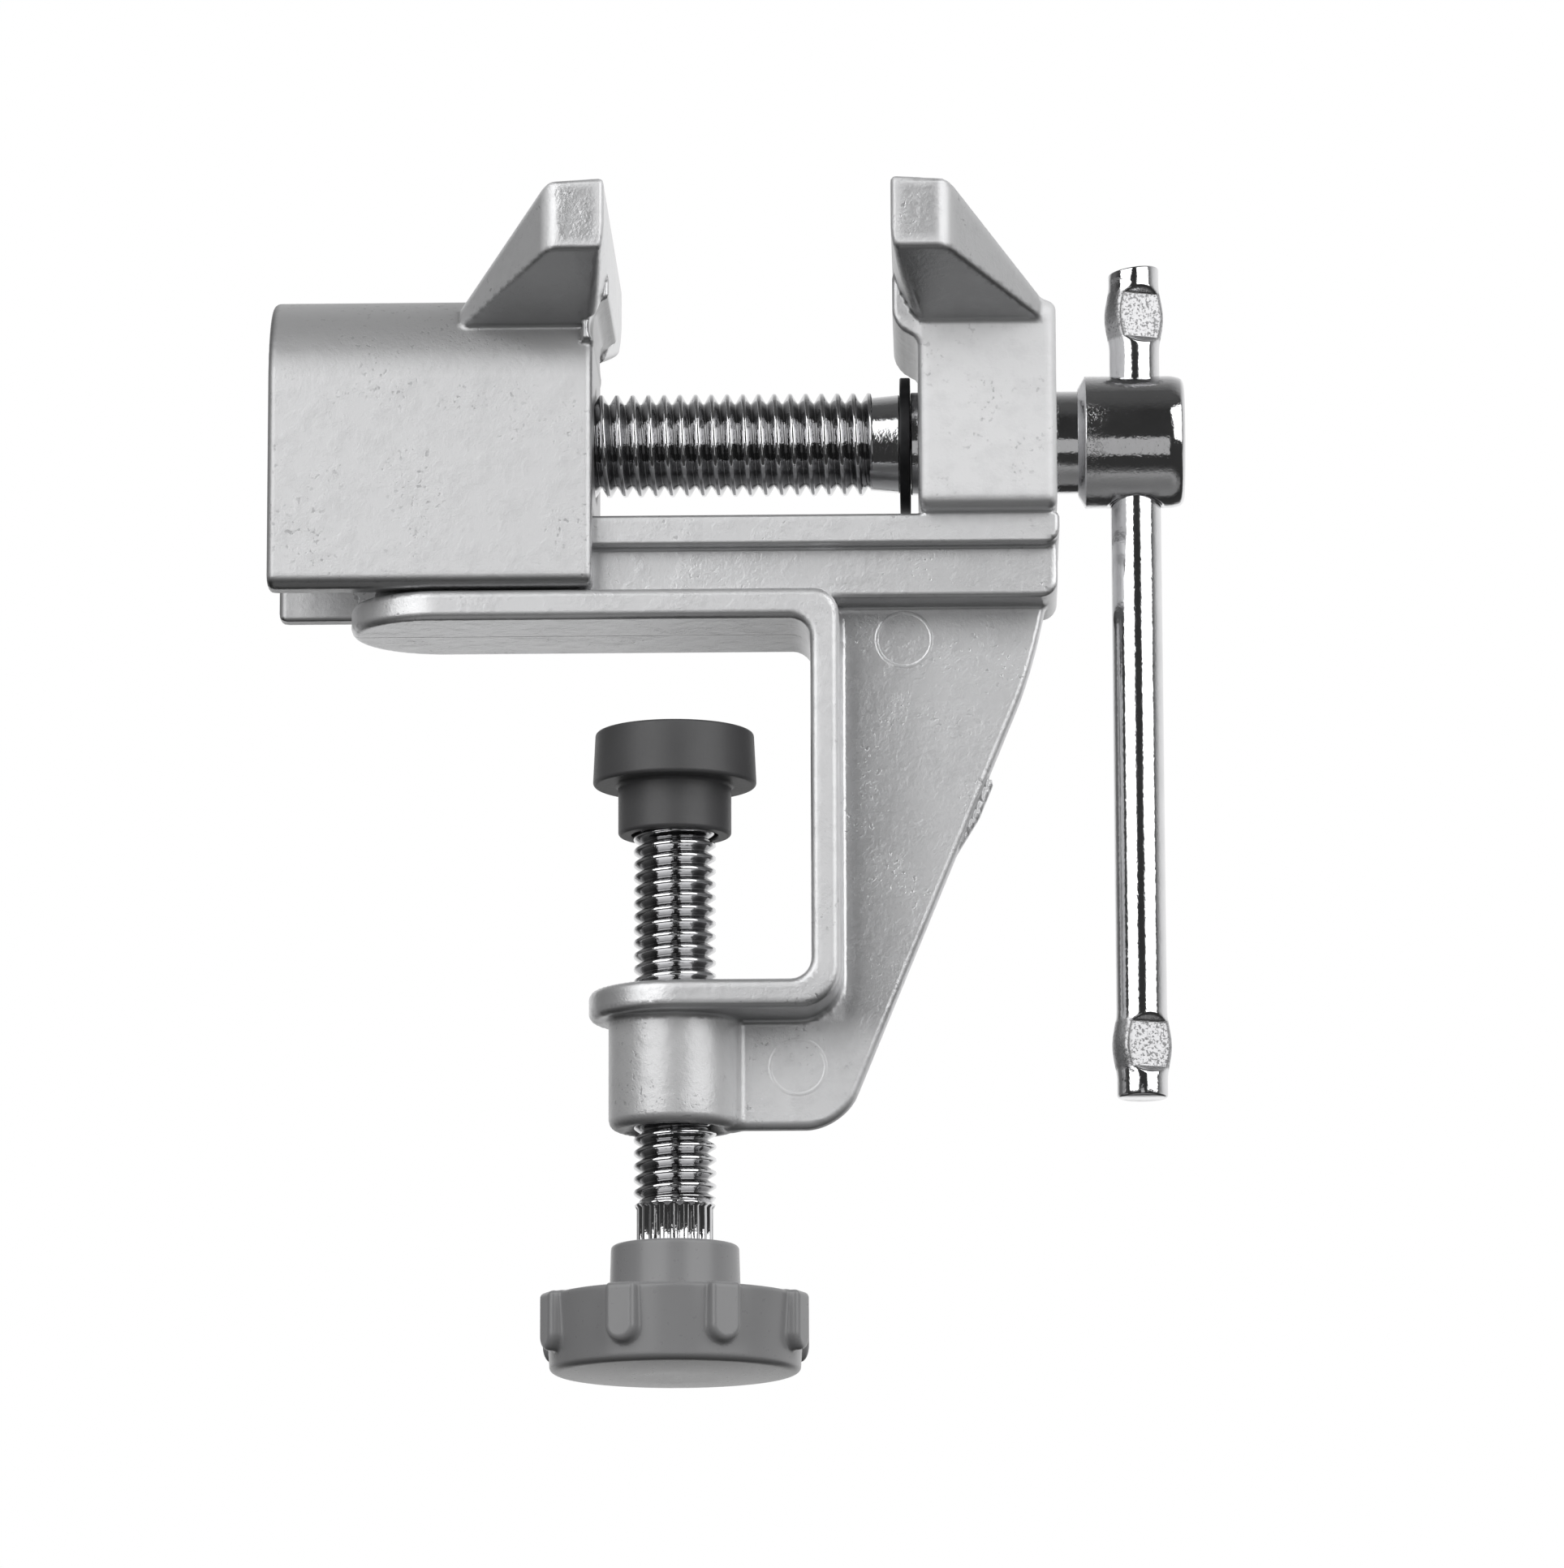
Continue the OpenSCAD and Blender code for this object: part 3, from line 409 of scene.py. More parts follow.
def frame_marks(points, normals):
    """How dull, how pale and how rough the frame's skin is at each point. Dull is 0 on a smooth skin and 1 on
    a sandy one, and pale (tone) is 1 unless painted shade darkens it. The block is the dullest. The jaw, the
    web and the undersides are smooth, and the web grows duller towards its edge and its foot."""
    x, y, z = points.T
    nx, ny, nz = unit(normals).T
    ay = np.abs(y)
    # Places and directions, each as a share from 0 to 1
    under = ease(nz, -0.25, -0.75)
    flank = ease(nx, 0.4, 0.7)
    inwards = ease(nx, -0.5, -0.9)
    block = ease(x, FIXED_FACE - 0.75, FIXED_FACE + 0.05) * ease(z, RAIL_TOP - 0.15, RAIL_TOP + 0.35)
    lower_arm = ease(z, -THROAT_H + 0.9, -THROAT_H - 0.6)
    spine = ease(x, THROAT_D - 0.5, THROAT_D + 0.2) * ease(z, 1.0, 0.0) * ease(z, -36.0, -33.0)
    stem = ease(ay, RAIL_W / 2 + 0.45, RAIL_W / 2 + 0.15) * ease(z, 2.6, 3.0) * ease(z, 7.4, 7.0)
    seat = ease(z, -5.0, -1.0) * ease(z, 1.8, 0.8)
    rail_top = ease(nz, 0.4, 0.9) * ease(z, RAIL_TOP + 0.45, RAIL_TOP + 0.15)
    smooth = np.maximum(rail_top, inwards * ease(z, 1.0, 0.0))
    facing = inwards * ease(z, RAIL_TOP + 0.15, RAIL_TOP + 0.45)
    facing *= ease(x, FIXED_FACE + 0.65, FIXED_FACE + 0.35)
    outside = ease(np.maximum(x - SPINE_OUTER, LOWER_ARM_BOTTOM - z), 0.05, 0.35) * ease(z, 2.7, 2.3)
    boss = outside * ease(np.hypot(x, y), BOSS_D / 2 + 0.35, BOSS_D / 2 + 0.1)
    web = outside * ease(ay, WEB_T / 2 + 1.35, WEB_T / 2 + 0.65) * (1 - boss)
    jaw = ease(np.maximum.reduce([ay - BLOCK_W / 2, z - FIXED_TOP, FIXED_FACE - x]), 0.02, 0.4)
    jaw *= ease(z, LIP_FOOT - 0.2, LIP_FOOT + 0.4)
    rim = end_rim(x - FIXED_GRIP, y, z, nx, ny)

    dull = 0.47 + 0.53 * block - 0.1 * lower_arm + 0.16 * spine - 0.18 * stem
    dull = shift(dull, under, 0.15 * seat * ease(x, -20.0, THROAT_D))
    dull *= (1 - smooth) * (1 - facing)
    web_dull = 0.02 + 0.3 * ease(x, 18.5, 25.5) + 0.55 * ease(z, -36.5, -40.5)
    dull = shift(dull, web, np.minimum(web_dull, 0.68))
    dull = shift(dull, boss, 0.8)
    dull = shift(dull, jaw, (0.1 + 0.2 * flank + 0.6 * rim) * (1 - under))
    # Tone is painted shade: darker on the undersides, under the arm towards the spine, on the rail's top, on
    # the fixed block's face across the gap, on the boss, and where the jaw faces +X or down.
    tone = 1 - 0.4 * under * (1 - seat) - 0.35 * under * seat * ease(x, -6.0, 10.0)
    tone -= 0.3 * smooth * ease(z, 9.0, 9.5) + 0.4 * facing + 0.2 * boss + 0.25 * jaw * (flank + under)
    return {"dull": dull, "tone": tone, "rough": 0.25 + 0.22 * dull * (1 - 0.7 * boss)}


def moving_marks(points, normals):
    """How dull, how pale and how rough the moving jaw's skin is at each point, and where its arch is pitted.
    The block is dull on its sides and less so where it turns up or down, the jaw is smooth, and pale is
    painted shade."""
    x, y, z = points.T
    nx, ny, nz = unit(normals).T
    under, over = ease(nz, -0.1, -0.6), ease(nz, 0.02, 0.6)
    end, facing = ease(nx, -0.15, -0.6), ease(nx, 0.5, 0.9)
    jaw = ease(np.maximum(arch_side(y, z), x - MOVING_FACE), 0.03, 0.4)
    jaw *= ease(z, LIP_FOOT - 0.2, LIP_FOOT + 0.4)
    jaw_under = ease(nz, -0.3, -0.6)
    rim = end_rim(MOVING_GRIP - x, y, z, nx, ny)
    dull = (0.70 - 0.1 * over - 0.7 * under) * (1 - facing)
    dull = shift(dull, jaw, (0.35 * ease(nx, -0.4, -0.7) + 0.6 * rim) * (1 - jaw_under))
    # Painted shade: darker where the block turns up, a little less so at its top, darker on its undersides,
    # its tail end and its face across the gap, and under the jaw.
    tone = 1 - 0.45 * ease(nz, -0.05, 0.3) + 0.09 * ease(nz, 0.4, 0.8) - 0.6 * under
    tone *= (1 - 0.5 * end) * (1 - 0.4 * facing)
    tone = shift(tone, jaw, 1 - 0.55 * jaw_under)
    pitted = ease(nz, 0.1, 0.35) * ease(nz, 0.97, 0.8) * ease(x, -35.0, -28.0) * ease(x, -11.0, -17.0)
    return {"dull": dull, "tone": tone, "rough": 0.25 + 0.22 * dull, "pitted": 0.2 * pitted * (1 - jaw)}


def head_marks(points, normals):
    """How sandy the lead screw's head is: a little at its inner end."""
    return {"sand": 0.4 * ease(points[:, 0], HEAD_FACE + 3.4, HEAD_FACE + 1.4)}


def shank_marks(points, normals):
    """How sandy the lead screw's shank is: a trace on its taper."""
    return {"sand": 0.1 * ease(points[:, 0], GROOVE_START + 0.14, GROOVE_START - 0.06)}


def piece(name, points, faces, normals, material, body, node, marks=None):
    """A mesh of points in millimetres, shaded with the given normals, that rides on a body and stands for
    a node. Marks are named values at its points that its finish reads."""
    mesh = bpy.data.meshes.new(name)
    mesh.from_pydata(points * MM, [], faces)
    mesh.polygons.foreach_set("use_smooth", np.ones(len(mesh.polygons), bool))
    mesh.update()
    if normals is not None:
        mesh.normals_split_custom_set_from_vertices(unit(normals))
    for key, values in (marks or {}).items():
        mesh.attributes.new(key, "FLOAT", "POINT").data.foreach_set("value", np.asarray(values, np.float32))
    shape = bpy.data.objects.new(name, mesh)
    bpy.context.scene.collection.objects.link(shape)
    mesh.materials.append(material)
    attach(shape, body)
    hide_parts(node)
    return shape


def skinned(name, field, low, high, step, material, body, node, marks=None):
    points, quads, normals = skin(field, low, high, step * (1))
    return piece(name, points, quads.tolist(), normals, material, body, node,
                 marks and marks(points, normals))


def weld(points, faces):
    """Points and faces with the doubled points merged, the sides that close up left out, and with them the
    faces that keep fewer than three. Also gives each kept point's old place in the list."""
    _, index, inverse = np.unique(np.round(points, 4), axis=0, return_index=True, return_inverse=True)
    rings = inverse.ravel()[faces]
    open_sides = rings != np.roll(rings, 1, axis=1)
    quads = rings[open_sides.all(1)]
    pinched = open_sides.sum(1) == 3
    triangles = rings[pinched][open_sides[pinched]].reshape(-1, 3)
    return points[index], quads.tolist() + triangles.tolist(), index


def lay(radius, height, angle, axis_x=False, axis_place=(0, 0, 0)):
    """Points at a radius, height and angle about +Z, or about +X for a lying piece, moved to the axis's
    place."""
    a, b = radius * np.cos(angle), radius * np.sin(angle)
    placed = (height, a, b) if axis_x else (a, b, height)
    return np.stack(placed, -1) + np.array(axis_place, float)


def grid_faces(rows, columns, step_over=0):
    """Quads of a grid of rows and columns whose last column meets the first, step_over rows further on."""
    row, column = np.meshgrid(np.arange(rows - 1 - step_over), np.arange(columns), indexing="ij")
    wrap = column == columns - 1
    across_row = row + np.where(wrap, step_over, 0)
    across_column = np.where(wrap, 0, column + 1)
    corners = [row * columns + column, across_row * columns + across_column,
               (across_row + 1) * columns + across_column, (row + 1) * columns + column]
    return np.stack(corners, -1).reshape(-1, 4)


def rounded(corners):
    """Points and normals of an open outline. Each corner is radius, height and rounding, and a rounding
    becomes an arc that touches both of its sides. The outside lies to the right of the way along it."""
    places, normals = [], []
    spots = np.array([c[:2] for c in corners], float)
    sides = np.diff(spots, axis=0)
    sides /= np.linalg.norm(sides, axis=1, keepdims=True)
    out = np.stack([sides[:, 1], -sides[:, 0]], 1)
    for k, (spot, (_, _, r)) in enumerate(zip(spots, corners)):
        if k in (0, len(spots) - 1) or r <= 0:
            for side in sorted({max(k - 1, 0), min(k, len(sides) - 1)}):
                places.append(spot)
                normals.append(out[side])
            continue
        before, after = sides[k - 1], sides[k]
        bend = math.atan2(before[0] * after[1] - before[1] * after[0], before @ after)
        reach = r * math.tan(abs(bend) / 2)
        start = spot - before * reach
        hand = 1 if bend > 0 else -1
        centre = start - hand * out[k - 1] * r
        for share in np.linspace(0, 1, 7):
            a = bend * share
            n = np.array([out[k - 1][0] * math.cos(a) - out[k - 1][1] * math.sin(a),
                          out[k - 1][0] * math.sin(a) + out[k - 1][1] * math.cos(a)])
            places.append(centre + hand * n * r)
            normals.append(n)
    return np.array(places), np.array(normals)


def turned(name, corners, material, body, node, axis_x=False, place=(0, 0, 0), marks=None):
    """A turned piece: an outline that starts and ends on the axis, carried round it."""
    segments = 96
    outline, out = rounded(corners)
    angle = np.arange(segments) / segments * TURN
    radius, turn = np.meshgrid(outline[:, 0], angle, indexing="ij")
    height = np.broadcast_to(outline[:, 1:], radius.shape)
    points = lay(radius, height, turn, axis_x, place).reshape(-1, 3)
    normals = lay(np.broadcast_to(out[:, :1], radius.shape), np.broadcast_to(out[:, 1:], radius.shape),
                  turn, axis_x).reshape(-1, 3)
    faces = grid_faces(len(outline), segments)
    long = np.linalg.norm(points[faces[:, 0]] - points[faces[:, 3]], axis=1) > 1e-6
    return piece(name, points, faces[long].tolist(), normals, material, body, node,
                 marks and marks(points, normals))


def ball_arc(radius, start):
    """Outline of the clamp screw's ball or of its socket, from an angle off straight down to the top."""
    return [(radius * math.sin(a), BALL_Z - radius * math.cos(a), 0) for a in np.linspace(start, math.pi, 24)]


def threaded(name, start, end, outer_r, pitch, phase, limit, material, body, node, axis_x=False,
             place=(0, 0, 0)):
    """A threaded rod with flat ends. The grid's rows climb with a right-hand helix, so the crests are exact:
    the height is the row's share of a turn plus the angle's share of the pitch, and the radius is the
    thread's shape at that share, held under limit(height). Past each end the radius shrinks to nothing in
    the end's plane. Phase shifts the crests by a share of the pitch. The painted shade is 1 in the roots."""
    segments, cap = 80, 0.8
    depth = THREAD_SHARE * pitch
    turns = int(math.ceil((end - start + 2 * cap) / pitch)) + 3
    base = np.arange(turns)[:, None] + THREAD_SHAPE[:, 0]
    base = (base.ravel() - 1 + phase) * pitch + start - cap - pitch / 2
    level = np.tile(THREAD_SHAPE[:, 1], turns)
    share = np.arange(segments) / segments
    free = base[:, None] + pitch * share
    height = np.clip(free, start, end)
    past = np.maximum(start - free, free - end)
    radius = outer_r - depth + depth * level[:, None] + 0 * free
    radius = np.minimum(radius, limit(height))
    edge = np.minimum(outer_r - depth, limit(height))
    radius = np.where(past > 0, edge * np.clip(1 - past / cap, 0, 1), radius)
    angle = np.broadcast_to(share * TURN, radius.shape)
    points = lay(radius, height, angle, axis_x, place).reshape(-1, 3)
    points, faces, kept = weld(points, grid_faces(len(base), segments, len(THREAD_SHAPE)))
    # Painted shade that darkens the thread's roots and, less, its flanks; 0 on the crests.
    oil = np.broadcast_to(1 - level[:, None] ** 1.5, radius.shape).ravel()[kept]
    return piece(name, points, faces, None, material, body, node, {"oil": oil})


class Socket:
    """A shader value that takes part in Python arithmetic by adding Math nodes."""

    def __init__(self, finish, socket):
        self.finish, self.socket = finish, socket

    def math(self, operation, *values):
        return self.finish.math(operation, *values)

    def __add__(self, other):
        return self.math("ADD", self, other)

    def __sub__(self, other):
        return self.math("SUBTRACT", self, other)

    def __rsub__(self, other):
        return self.math("SUBTRACT", other, self)

    def __mul__(self, other):
        return self.math("MULTIPLY", self, other)

    def __truediv__(self, other):
        return self.math("DIVIDE", self, other)

    __radd__ = __add__
    __rmul__ = __mul__


class Finish:
    """A node tree of a material or of the world."""

    def __init__(self, owner):
        owner.use_nodes = True
        self.tree = owner.node_tree
        self.tree.nodes.clear()

    def node(self, kind, settings=None, inputs=None, output=0):
        """Adds a node, makes its settings, then fills its sockets with values or links."""
        new = self.tree.nodes.new(kind)
        for key, value in (settings or {}).items():
            if key == "stops":
                self.stops(new.color_ramp, value)
            else:
                setattr(new, key, value)
        for key, value in (inputs or {}).items():
            if isinstance(value, Socket):
                self.tree.links.new(value.socket, new.inputs[key])
            else:
                new.inputs[key].default_value = value
        return Socket(self, new.outputs[output]) if len(new.outputs) else None

    def stops(self, ramp, stops):
        """Sets a colour ramp's stops, each a place and a grey level."""
        while len(ramp.elements) < len(stops):
            ramp.elements.new(0.5)
        for element, (place, level) in zip(ramp.elements, stops):
            element.position = place
            element.color = grey(level)

    def math(self, operation, *values):
        """Adds a Math node."""
        return self.node("ShaderNodeMath", {"operation": operation}, dict(enumerate(values)))

    def split(self, vector):
        """The three parts of a vector."""
        node = self.node("ShaderNodeSeparateXYZ", None, {0: vector}).socket.node
        return [Socket(self, part) for part in node.outputs]

    def mix(self, factor, first, second):
        """Mixes two colours."""
        return self.node("ShaderNodeMix", {"data_type": "RGBA"}, {0: factor, 6: first, 7: second}, 2)

    def noise(self, place, scale, detail=2.0, roughness=0.5):
        """Adds a noise of a scale in waves per metre."""
        return self.node("ShaderNodeTexNoise", None,
                         {"Vector": place, "Scale": scale, "Detail": detail, "Roughness": roughness})

    def mark(self, name):
        """Reads a named value of the piece's points."""
        return self.node("ShaderNodeAttribute", {"attribute_name": name}, output=2)

    def ramp(self, value, stops):
        """Maps a value through grey stops."""
        return self.node("ShaderNodeValToRGB", {"stops": stops}, {0: value})

    def bump(self, height, strength, distance):
        """Turns a height into a normal."""
        return self.node("ShaderNodeBump", None,
                         {"Strength": strength, "Distance": distance, "Height": height})


def grey(level, blue=0.0):
    """A grey with an even level and, where asked, a little more blue."""
    return (level, level, level + blue, 1)


def material(name, slot):
    """A new material for a slot of the record, with its node tree and its Object coordinates."""
    made = bpy.data.materials.new(name)
    made["slot"] = slot
    finish = Finish(made)
    place = finish.node("ShaderNodeTexCoord", output=3)
    return made, finish, place


def surface(finish, **sockets):
    """Closes a material with one Principled surface."""
    names = {key.replace("_", " "): value for key, value in sockets.items()}
    shader = finish.node("ShaderNodeBsdfPrincipled", None, names)
    finish.node("ShaderNodeOutputMaterial", None, {"Surface": shader})


def casting_finish():
    """Satin die casting. Its dull parts have a pale, faintly sandy skin that scatters light, its other parts
    are smoother and so darker. Chilled patches are rougher and speckled, and a faint mottle runs over all.
    A fine parting ridge runs along Y = 0 under the arms, and two ejector pins left rings on the web.
    The tone mark is painted shade, which darkens the colour towards black."""
    made, finish, place = material("casting_satin", "casting")
    x, y, z = (part / MM for part in finish.split(place))
    dull, tone = finish.mark("dull"), finish.mark("tone")
    grain = finish.noise(place, 3800, 3, 0.6)
    cloud = finish.noise(place, 70, 2, 0.5)
    patch = finish.ramp(finish.noise(place, 190, 3, 0.55) + finish.mark("pitted"), [(0.50, 0.0), (0.64, 1.0)])
    specks = finish.ramp(finish.noise(place, 2100, 1, 0.5), [(0.62, 0.0), (0.72, 1.0)])
    mottle = finish.ramp(finish.noise(place, 420, 5, 0.65), [(0.45, 0.0), (0.72, 1.0)])
    raised = finish.ramp(finish.math("ABSOLUTE", y), [(0.05, 1.0), (0.2, 0.0)])
    raised = raised * finish.ramp(z, [(0.3, 1.0), (0.6, 0.0)])
    for ring_x, ring_z in EJECTOR_RINGS:
        far = finish.math("SQRT", (x - ring_x) * (x - ring_x) + (z - ring_z) * (z - ring_z))
        raised = raised + finish.ramp(finish.math("ABSOLUTE", far - EJECTOR_R), [(0.06, 0.8), (0.2, 0.0)])
    colour = finish.mix(cloud, (0.74, 0.745, 0.755, 1), (0.80, 0.802, 0.81, 1))
    colour = finish.mix(dull, colour, (0.92, 0.922, 0.93, 1))
    # Painted shade: the tone mark darkens the colour towards black.
    colour = finish.mix(tone, grey(0), colour)
    colour = finish.mix(specks * patch * 0.5, colour, grey(0.30, 0.01))
    colour = finish.mix(mottle * 0.16, colour, grey(0.45, 0.01))
    height = grain * (patch * 0.8 + 0.5) + mottle * 1.4 - specks * patch * 0.9 + raised * 1.5
    surface(finish, Base_Color=colour, Metallic=0.86 - dull * 0.66,
            Roughness=grain * 0.14 + finish.mark("rough"), Normal=finish.bump(height, 0.4, 0.00005))
    return made


def steel_finish():
    """Bright zinc plate: nearly mirror bright with faint cloudy stains and fine pits. Its sandy parts are
    rough and speckled, and the fully sandy flats that were pressed are greyer too. Painted shade darkens
    the threads' roots and flanks."""
    made, finish, place = material("steel_plated", "steel")
    sand = finish.mark("sand")
    pressed = finish.ramp(sand, [(0.5, 0.0), (1.0, 1.0)])
    cloud = finish.noise(place, 260, 3, 0.6)
    pits = finish.noise(place, 2600, 2, 0.6)
    specks = finish.ramp(finish.noise(place, 4200, 2, 0.6), [(0.52, 0.0), (0.62, 1.0)])
    colour = finish.mix(cloud, grey(0.62, 0.01), grey(0.80, 0.01))
    colour = finish.mix(sand * specks * 0.3, colour, grey(0.42, 0.01))
    colour = finish.mix(pressed * (specks * 0.25 + 0.5), colour, grey(0.22, 0.005))
    # Painted shade in the threads' roots and flanks.
    colour = finish.mix(finish.mark("oil") * (cloud * 0.4 + 0.38), colour, grey(0.10, 0.003))
    roughness = cloud * 0.08 + pits * 0.05 + sand * (specks * 0.25 + 0.06) + pressed * 0.16 + 0.03
    surface(finish, Base_Color=colour, Metallic=1.0, Roughness=roughness,
            Normal=finish.bump(pits + sand * specks * 0.7, 0.4, 0.00004))
    return made


def clip_finish():
    """Black oxide on spring steel: near black with a dull sheen and light rubbed spots."""
    made, finish, place = material("clip_oxide", "clip_black")
    cloud = finish.noise(place, 900, 3, 0.6)
    colour = finish.mix(cloud, grey(0.012, 0.001), grey(0.045, 0.003))
    surface(finish, Base_Color=colour, Metallic=0.6, Roughness=cloud * 0.2 + 0.3)
    return made


def moulded_finish(name, slot, clouds, cloud_scale, grain_scale, gloss, bump):
    """Moulded plastic: flow clouds between two greys, and a fine even grain that also varies its gloss."""
    made, finish, place = material(name, slot)
    grain = finish.noise(place, grain_scale, 3, 0.6)
    colour = finish.mix(finish.noise(place, cloud_scale, 2, 0.5), *clouds)
    least, spread = gloss
    surface(finish, Base_Color=colour, Roughness=grain * spread + least,
            Normal=finish.bump(grain, bump, 0.00003))
    return made


CASTING, STEEL, CLIP_BLACK = casting_finish(), steel_finish(), clip_finish()
PAD_BLACK = moulded_finish("pad_moulded", "pad_black", (grey(0.072, 0.002), grey(0.104, 0.003)), 180, 3000,
                           (0.38, 0.15), 0.3)
KNOB_GREY = moulded_finish("knob_plastic", "knob_grey", (grey(0.265, 0.005), grey(0.320, 0.007)), 120, 1600,
                           (0.24, 0.1), 0.15)


def splined_shank():
    """The shank under the clamp screw's thread: a cylinder whose radius dips in round flutes, with a thin
    burr ring where the flutes start."""
    segments = SPLINE_COUNT * 12
    heights = np.array([CLAMP_BOTTOM + 0.3, CLAMP_BOTTOM + 0.3, CLAMP_BOTTOM + 0.1, CLAMP_BOTTOM - 0.1,
                        CLAMP_BOTTOM - 0.25, CLAMP_BOTTOM - 0.5, KNOB_TOP, SPLINE_BOTTOM, SPLINE_BOTTOM])
    radii = np.array([0, 3.1, 3.45, 3.8, 3.75, SPLINE_R, SPLINE_R, SPLINE_R, 0])
    fluted = np.array([0, 0, 0, 0, 0.3, 1, 1, 1, 0])
    angle = np.arange(segments) / segments * TURN
    wave = 0.5 - 0.5 * np.cos(angle * SPLINE_COUNT)
    radius = radii[:, None] - FLUTE_DEPTH * fluted[:, None] * wave ** 2
    height = np.broadcast_to(heights[:, None], radius.shape)
    points = lay(radius, height, np.broadcast_to(angle, radius.shape)).reshape(-1, 3)
    points, faces, _ = weld(points, grid_faces(len(heights), segments)[:, ::-1])
    return piece("clamp_screw_shank", points, faces, None, STEEL, "clamp_screw", "clamp_screw")


def handle_bar():
    """The bar: at each height its radius round the axis is the soft minimum of the bar's own radius and of
    the distance to the two pressed flats, thickness over the sine of the angle. The bar swells smoothly
    where it is pressed, and the flats' ends slope out again. The upper end is cut a little aslant."""
    segments, sharp = 96, 24
    flat_middle, flat_half, half_thick, swell, swell_half = 4.95, 2.15, 1.75, 0.4, 3.4
    ramp_soft, ramp_rise, slant_l, slant_h = 0.08, 1.1, 1.5, 0.35
    ends = np.array([0, 0.05, 0.12, 0.25])
    middles = np.array([BAR_BOTTOM + flat_middle, BAR_TOP - flat_middle])
    fine = np.concatenate([m + np.linspace(-swell_half, swell_half, 81) for m in middles])
    heights = np.unique(np.round(np.concatenate(
        [fine, BAR_BOTTOM + ends, BAR_TOP - ends, np.linspace(BAR_BOTTOM, BAR_TOP, 60)]), 4))
    off = np.abs(heights[:, None] - middles).min(1)[:, None]
    beyond = off - flat_half
    thick = half_thick + 0.5 * (beyond + np.hypot(beyond, ramp_soft)) * ramp_rise
    wide = BAR_R + swell * np.cos(math.pi / 2 * np.clip(off / swell_half, 0, 1)) ** 2
    from_end = np.minimum(heights - BAR_BOTTOM, BAR_TOP - heights)[:, None]
    wide = wide - ends[-1] + np.sqrt(ends[-1] ** 2 - np.maximum(ends[-1] - from_end, 0) ** 2)
    angle = np.arange(segments) / segments * TURN
    sine = np.abs(np.sin(angle - math.radians(SWAGE_TURN)))
    radius = (wide ** -sharp + (sine / thick) ** sharp) ** (-1 / sharp)
    radius = np.concatenate([0 * radius[:1], radius, 0 * radius[-1:]])
    heights = np.concatenate([heights[:1], heights, heights[-1:]])[:, None] + 0 * radius
    points = lay(radius, heights, angle + 0 * radius)
    slant = np.clip((points[..., 2] - (BAR_TOP - slant_l)) / slant_l, 0, 1)
    points[..., 2] -= slant * slant_h * (1 - points[..., 0] / BAR_R)
    points += np.array([BAR_X, 0, 0])
    points, faces, _ = weld(points.reshape(-1, 3), grid_faces(len(radius), segments))
    off = np.abs(points[:, 2:] - middles).min(1)
    return piece("handle_bar_rod", points, faces, None, STEEL, "handle_bar", "handle_bar",
                 {"sand": ease(off, flat_half + 0.5, flat_half)})


def lead_screw():
    """The lead screw's rod: the thread, and the turned shank with its taper and the clip's groove."""
    place = (0, 0, SCREW_H)
    threaded("main_screw_thread", SCREW_INNER, TAPER_START + 0.4, SCREW_R, SCREW_PITCH, SCREW_PHASE,
             lambda h: np.minimum(SCREW_R, 3.7 + 0.9 * (h - SCREW_INNER)), STEEL, "main_screw", "main_screw",
             True, place)
    turned("main_screw_shank", [
        (0, TAPER_START, 0), (4.1, TAPER_START, 0), (4.42, TAPER_START + 0.25, 0.1),
        (TAPER_TOP_R, GROOVE_START, 0.1), (GROOVE_R, GROOVE_START, 0.05), (GROOVE_R, GROOVE_END, 0.05),
        (SCREW_R, GROOVE_END, 0.15), (SCREW_R, 36.9, 0), (SCREW_R, HEAD_FACE + SHORT_LAP, 0),
        (0, HEAD_FACE + SHORT_LAP, 0)], STEEL, "main_screw", "main_screw", True, place, shank_marks)


def clamp_screw():
    """The clamp screw's thread, and the ball on its neck."""
    threaded("clamp_screw_thread", CLAMP_BOTTOM, CLAMP_TOP, CLAMP_R, CLAMP_PITCH, 0,
             lambda h: np.minimum(3.3 + 0.9 * (h - CLAMP_BOTTOM), 3.0 + 0.9 * (CLAMP_TOP - h)),
             STEEL, "clamp_screw", "clamp_screw")
    turned("clamp_screw_ball", [
        (0, CLAMP_TOP - SHORT_LAP, 0), (BALL_NECK_R, CLAMP_TOP - SHORT_LAP, 0),
        (BALL_NECK_R, BALL_Z - 2.14, 0)] + ball_arc(BALL_R, 0.78), STEEL, "clamp_screw", "clamp_screw")


skinned("vise_frame_casting", vise_frame_field, (-ARM_REACH, -JAW_W / 2, BOSS_BOTTOM),
        (36.6, JAW_W / 2, JAW_TOP), 0.43, CASTING, "vise_frame", "vise_frame", frame_marks)
skinned("moving_jaw_casting", moving_jaw_field, (MOVING_TAIL, -JAW_W / 2, MOVING_BOTTOM),
        (MOVING_GRIP, JAW_W / 2, JAW_TOP), 0.36, CASTING, "moving_jaw", "moving_jaw", moving_marks)
skinned("main_screw_head", screw_head_field, (HEAD_FACE, -HEAD_R, SCREW_H - HEAD_R),
        (HEAD_END, HEAD_R, SCREW_H + HEAD_R), 0.16, STEEL, "main_screw", "main_screw", head_marks)
skinned("retaining_clip_ring", clip_field, (CLIP_FACE - CLIP_T, -CLIP_R, SCREW_H - CLIP_R - CLIP_DROP),
        (CLIP_FACE, CLIP_R, SCREW_H + CLIP_R), 0.11, CLIP_BLACK, "main_screw", "retaining_clip")
skinned("clamp_knob_moulding", knob_field, (-RIB_OUT, -RIB_OUT, KNOB_BOTTOM), (RIB_OUT, RIB_OUT, KNOB_TOP),
        0.22, KNOB_GREY, "clamp_screw", "clamp_knob")
lead_screw()
clamp_screw()
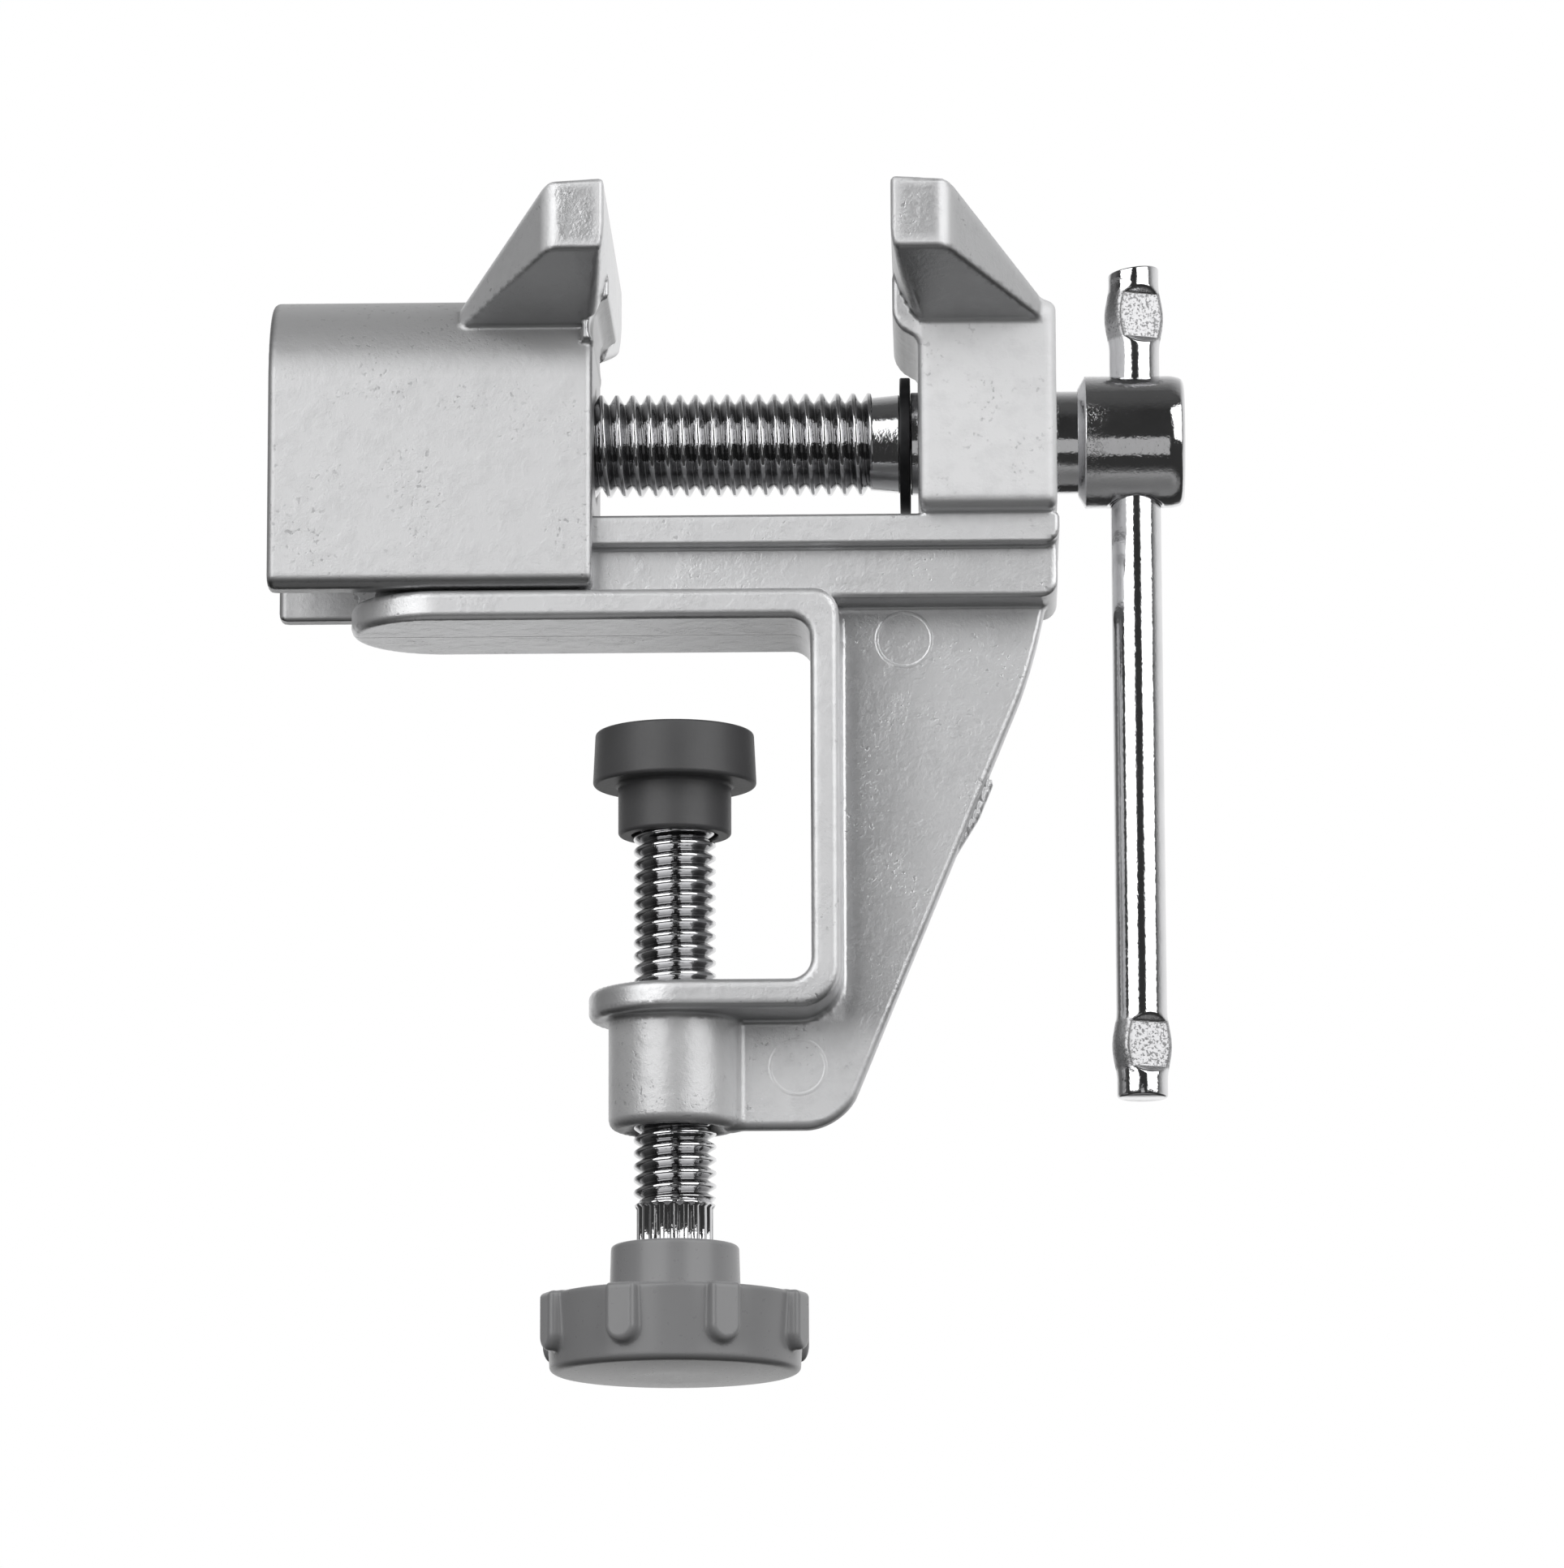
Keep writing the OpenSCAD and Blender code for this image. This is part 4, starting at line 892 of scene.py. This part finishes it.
turned("clamp_pad_moulding", [
    (0, PAD_FACE, 0), (PAD_FACE_R, PAD_FACE, PAD_EDGE_R), (PAD_RIM_R, PAD_STEP, PAD_EDGE_R),
    (PAD_NECK_R, PAD_STEP, PAD_EDGE_R), (PAD_NECK_R, PAD_FOOT, PAD_EDGE_R), (PAD_BORE_R, PAD_FOOT, 0.2),
    (PAD_BORE_R, PAD_BORE_TOP, 0.1), (SOCKET_MOUTH_R, PAD_BORE_TOP, 0.1),
    (SOCKET_MOUTH_R, BALL_Z - 2.06, 0)] + ball_arc(SOCKET_R, 0.86), PAD_BLACK, "clamp_pad", "clamp_pad")
splined_shank()
handle_bar()


def camera():
    """The photograph's camera: 11 degrees below the object and 0.8 m away, looking slightly up."""
    turn, tilt, roll = (math.radians(a) for a in (1.2438, -11.0127, -0.1857))
    distance, target = 0.78729, Vector((0.010148, 0, -0.014412))
    focal_px, image_h, film = 10253.7, 1932, 36.0
    back = Vector((math.sin(turn) * math.cos(tilt), -math.cos(turn) * math.cos(tilt), math.sin(tilt)))
    right = Vector((math.cos(turn), math.sin(turn), 0))
    up = back.cross(right)
    across = right * math.cos(roll) + up * math.sin(roll)
    upward = up * math.cos(roll) - right * math.sin(roll)
    lens = bpy.data.cameras.new("photo_camera")
    lens.sensor_width, lens.lens = film, focal_px / image_h * film
    lens.clip_start, lens.clip_end = 0.01, 100
    holder = bpy.data.objects.new("photo_camera", lens)
    bpy.context.scene.collection.objects.link(holder)
    turned_to = Matrix((across, upward, back)).transposed().to_4x4()
    holder.matrix_world = Matrix.Translation(target + back * distance) @ turned_to
    bpy.context.scene.camera = holder


def softbox(name, side, rise, width, height, power):
    """A flat area light that faces the studio's middle, from a side in degrees and a rise in metres."""
    middle, turn = Vector(STUDIO_MIDDLE), math.radians(side)
    away = Vector((LIGHT_REACH * math.sin(turn), -LIGHT_REACH * math.cos(turn), rise))
    light = bpy.data.lights.new(name, "AREA")
    light.shape, light.size, light.size_y, light.energy = "RECTANGLE", width, height, power
    holder = bpy.data.objects.new(name, light)
    bpy.context.scene.collection.objects.link(holder)
    facing = away.to_track_quat("Z", "Y").to_matrix().to_4x4()
    holder.matrix_world = Matrix.Translation(middle + away) @ facing


def surroundings():
    """The world: plain white for the camera. Reflections and scattered light see one ramp over height at the
    back and another at the front, blended by a share that runs round the object."""
    world = bpy.data.worlds.new("studio_world")
    bpy.context.scene.world = world
    finish = Finish(world)
    east, north, up = finish.split(finish.node("ShaderNodeTexCoord"))
    height = up * 0.5 + 0.5
    turn = finish.math("ARCTAN2", east, 0 - north) / TURN + 0.5
    back, front = finish.ramp(height, BACK_GLOW), finish.ramp(height, FRONT_GLOW)
    colour = finish.mix(finish.ramp(turn, BACK_SHARE), front, back)
    colour = finish.mix(finish.node("ShaderNodeLightPath"), colour, grey(1.0))
    background = finish.node("ShaderNodeBackground", None, {"Color": colour, "Strength": 1.0})
    finish.node("ShaderNodeOutputWorld", None, {"Surface": background})


def floor():
    """A pale matt floor, which is clear from below and casts no light on the object."""
    pale = bpy.data.materials.new("floor_pale")
    finish = Finish(pale)
    place = finish.node("ShaderNodeTexCoord", output=3)
    tone = finish.mix(finish.noise(place, 6), grey(0.80), grey(0.86))
    matt = finish.node("ShaderNodeBsdfPrincipled", None, {"Base Color": tone, "Roughness": 0.9})
    clear = finish.node("ShaderNodeBsdfTransparent")
    underside = finish.node("ShaderNodeNewGeometry", output=6)
    shader = finish.node("ShaderNodeMixShader", None, {0: underside, 1: matt, 2: clear})
    finish.node("ShaderNodeOutputMaterial", None, {"Surface": shader})
    mesh = bpy.data.meshes.new("floor")
    low, high, level = -FLOOR_REACH, FLOOR_REACH, FLOOR_LEVEL
    corners = [(low, low, level), (high, low, level), (high, high, level), (low, high, level)]
    mesh.from_pydata(corners, [], [(0, 1, 2, 3)])
    mesh.materials.append(pale)
    plane = bpy.data.objects.new("floor", mesh)
    bpy.context.scene.collection.objects.link(plane)
    plane.visible_diffuse = plane.visible_glossy = False


camera()
surroundings()
for light in LIGHTS:
    softbox(*light)
floor()
bpy.context.scene.view_settings.view_transform = "Standard"
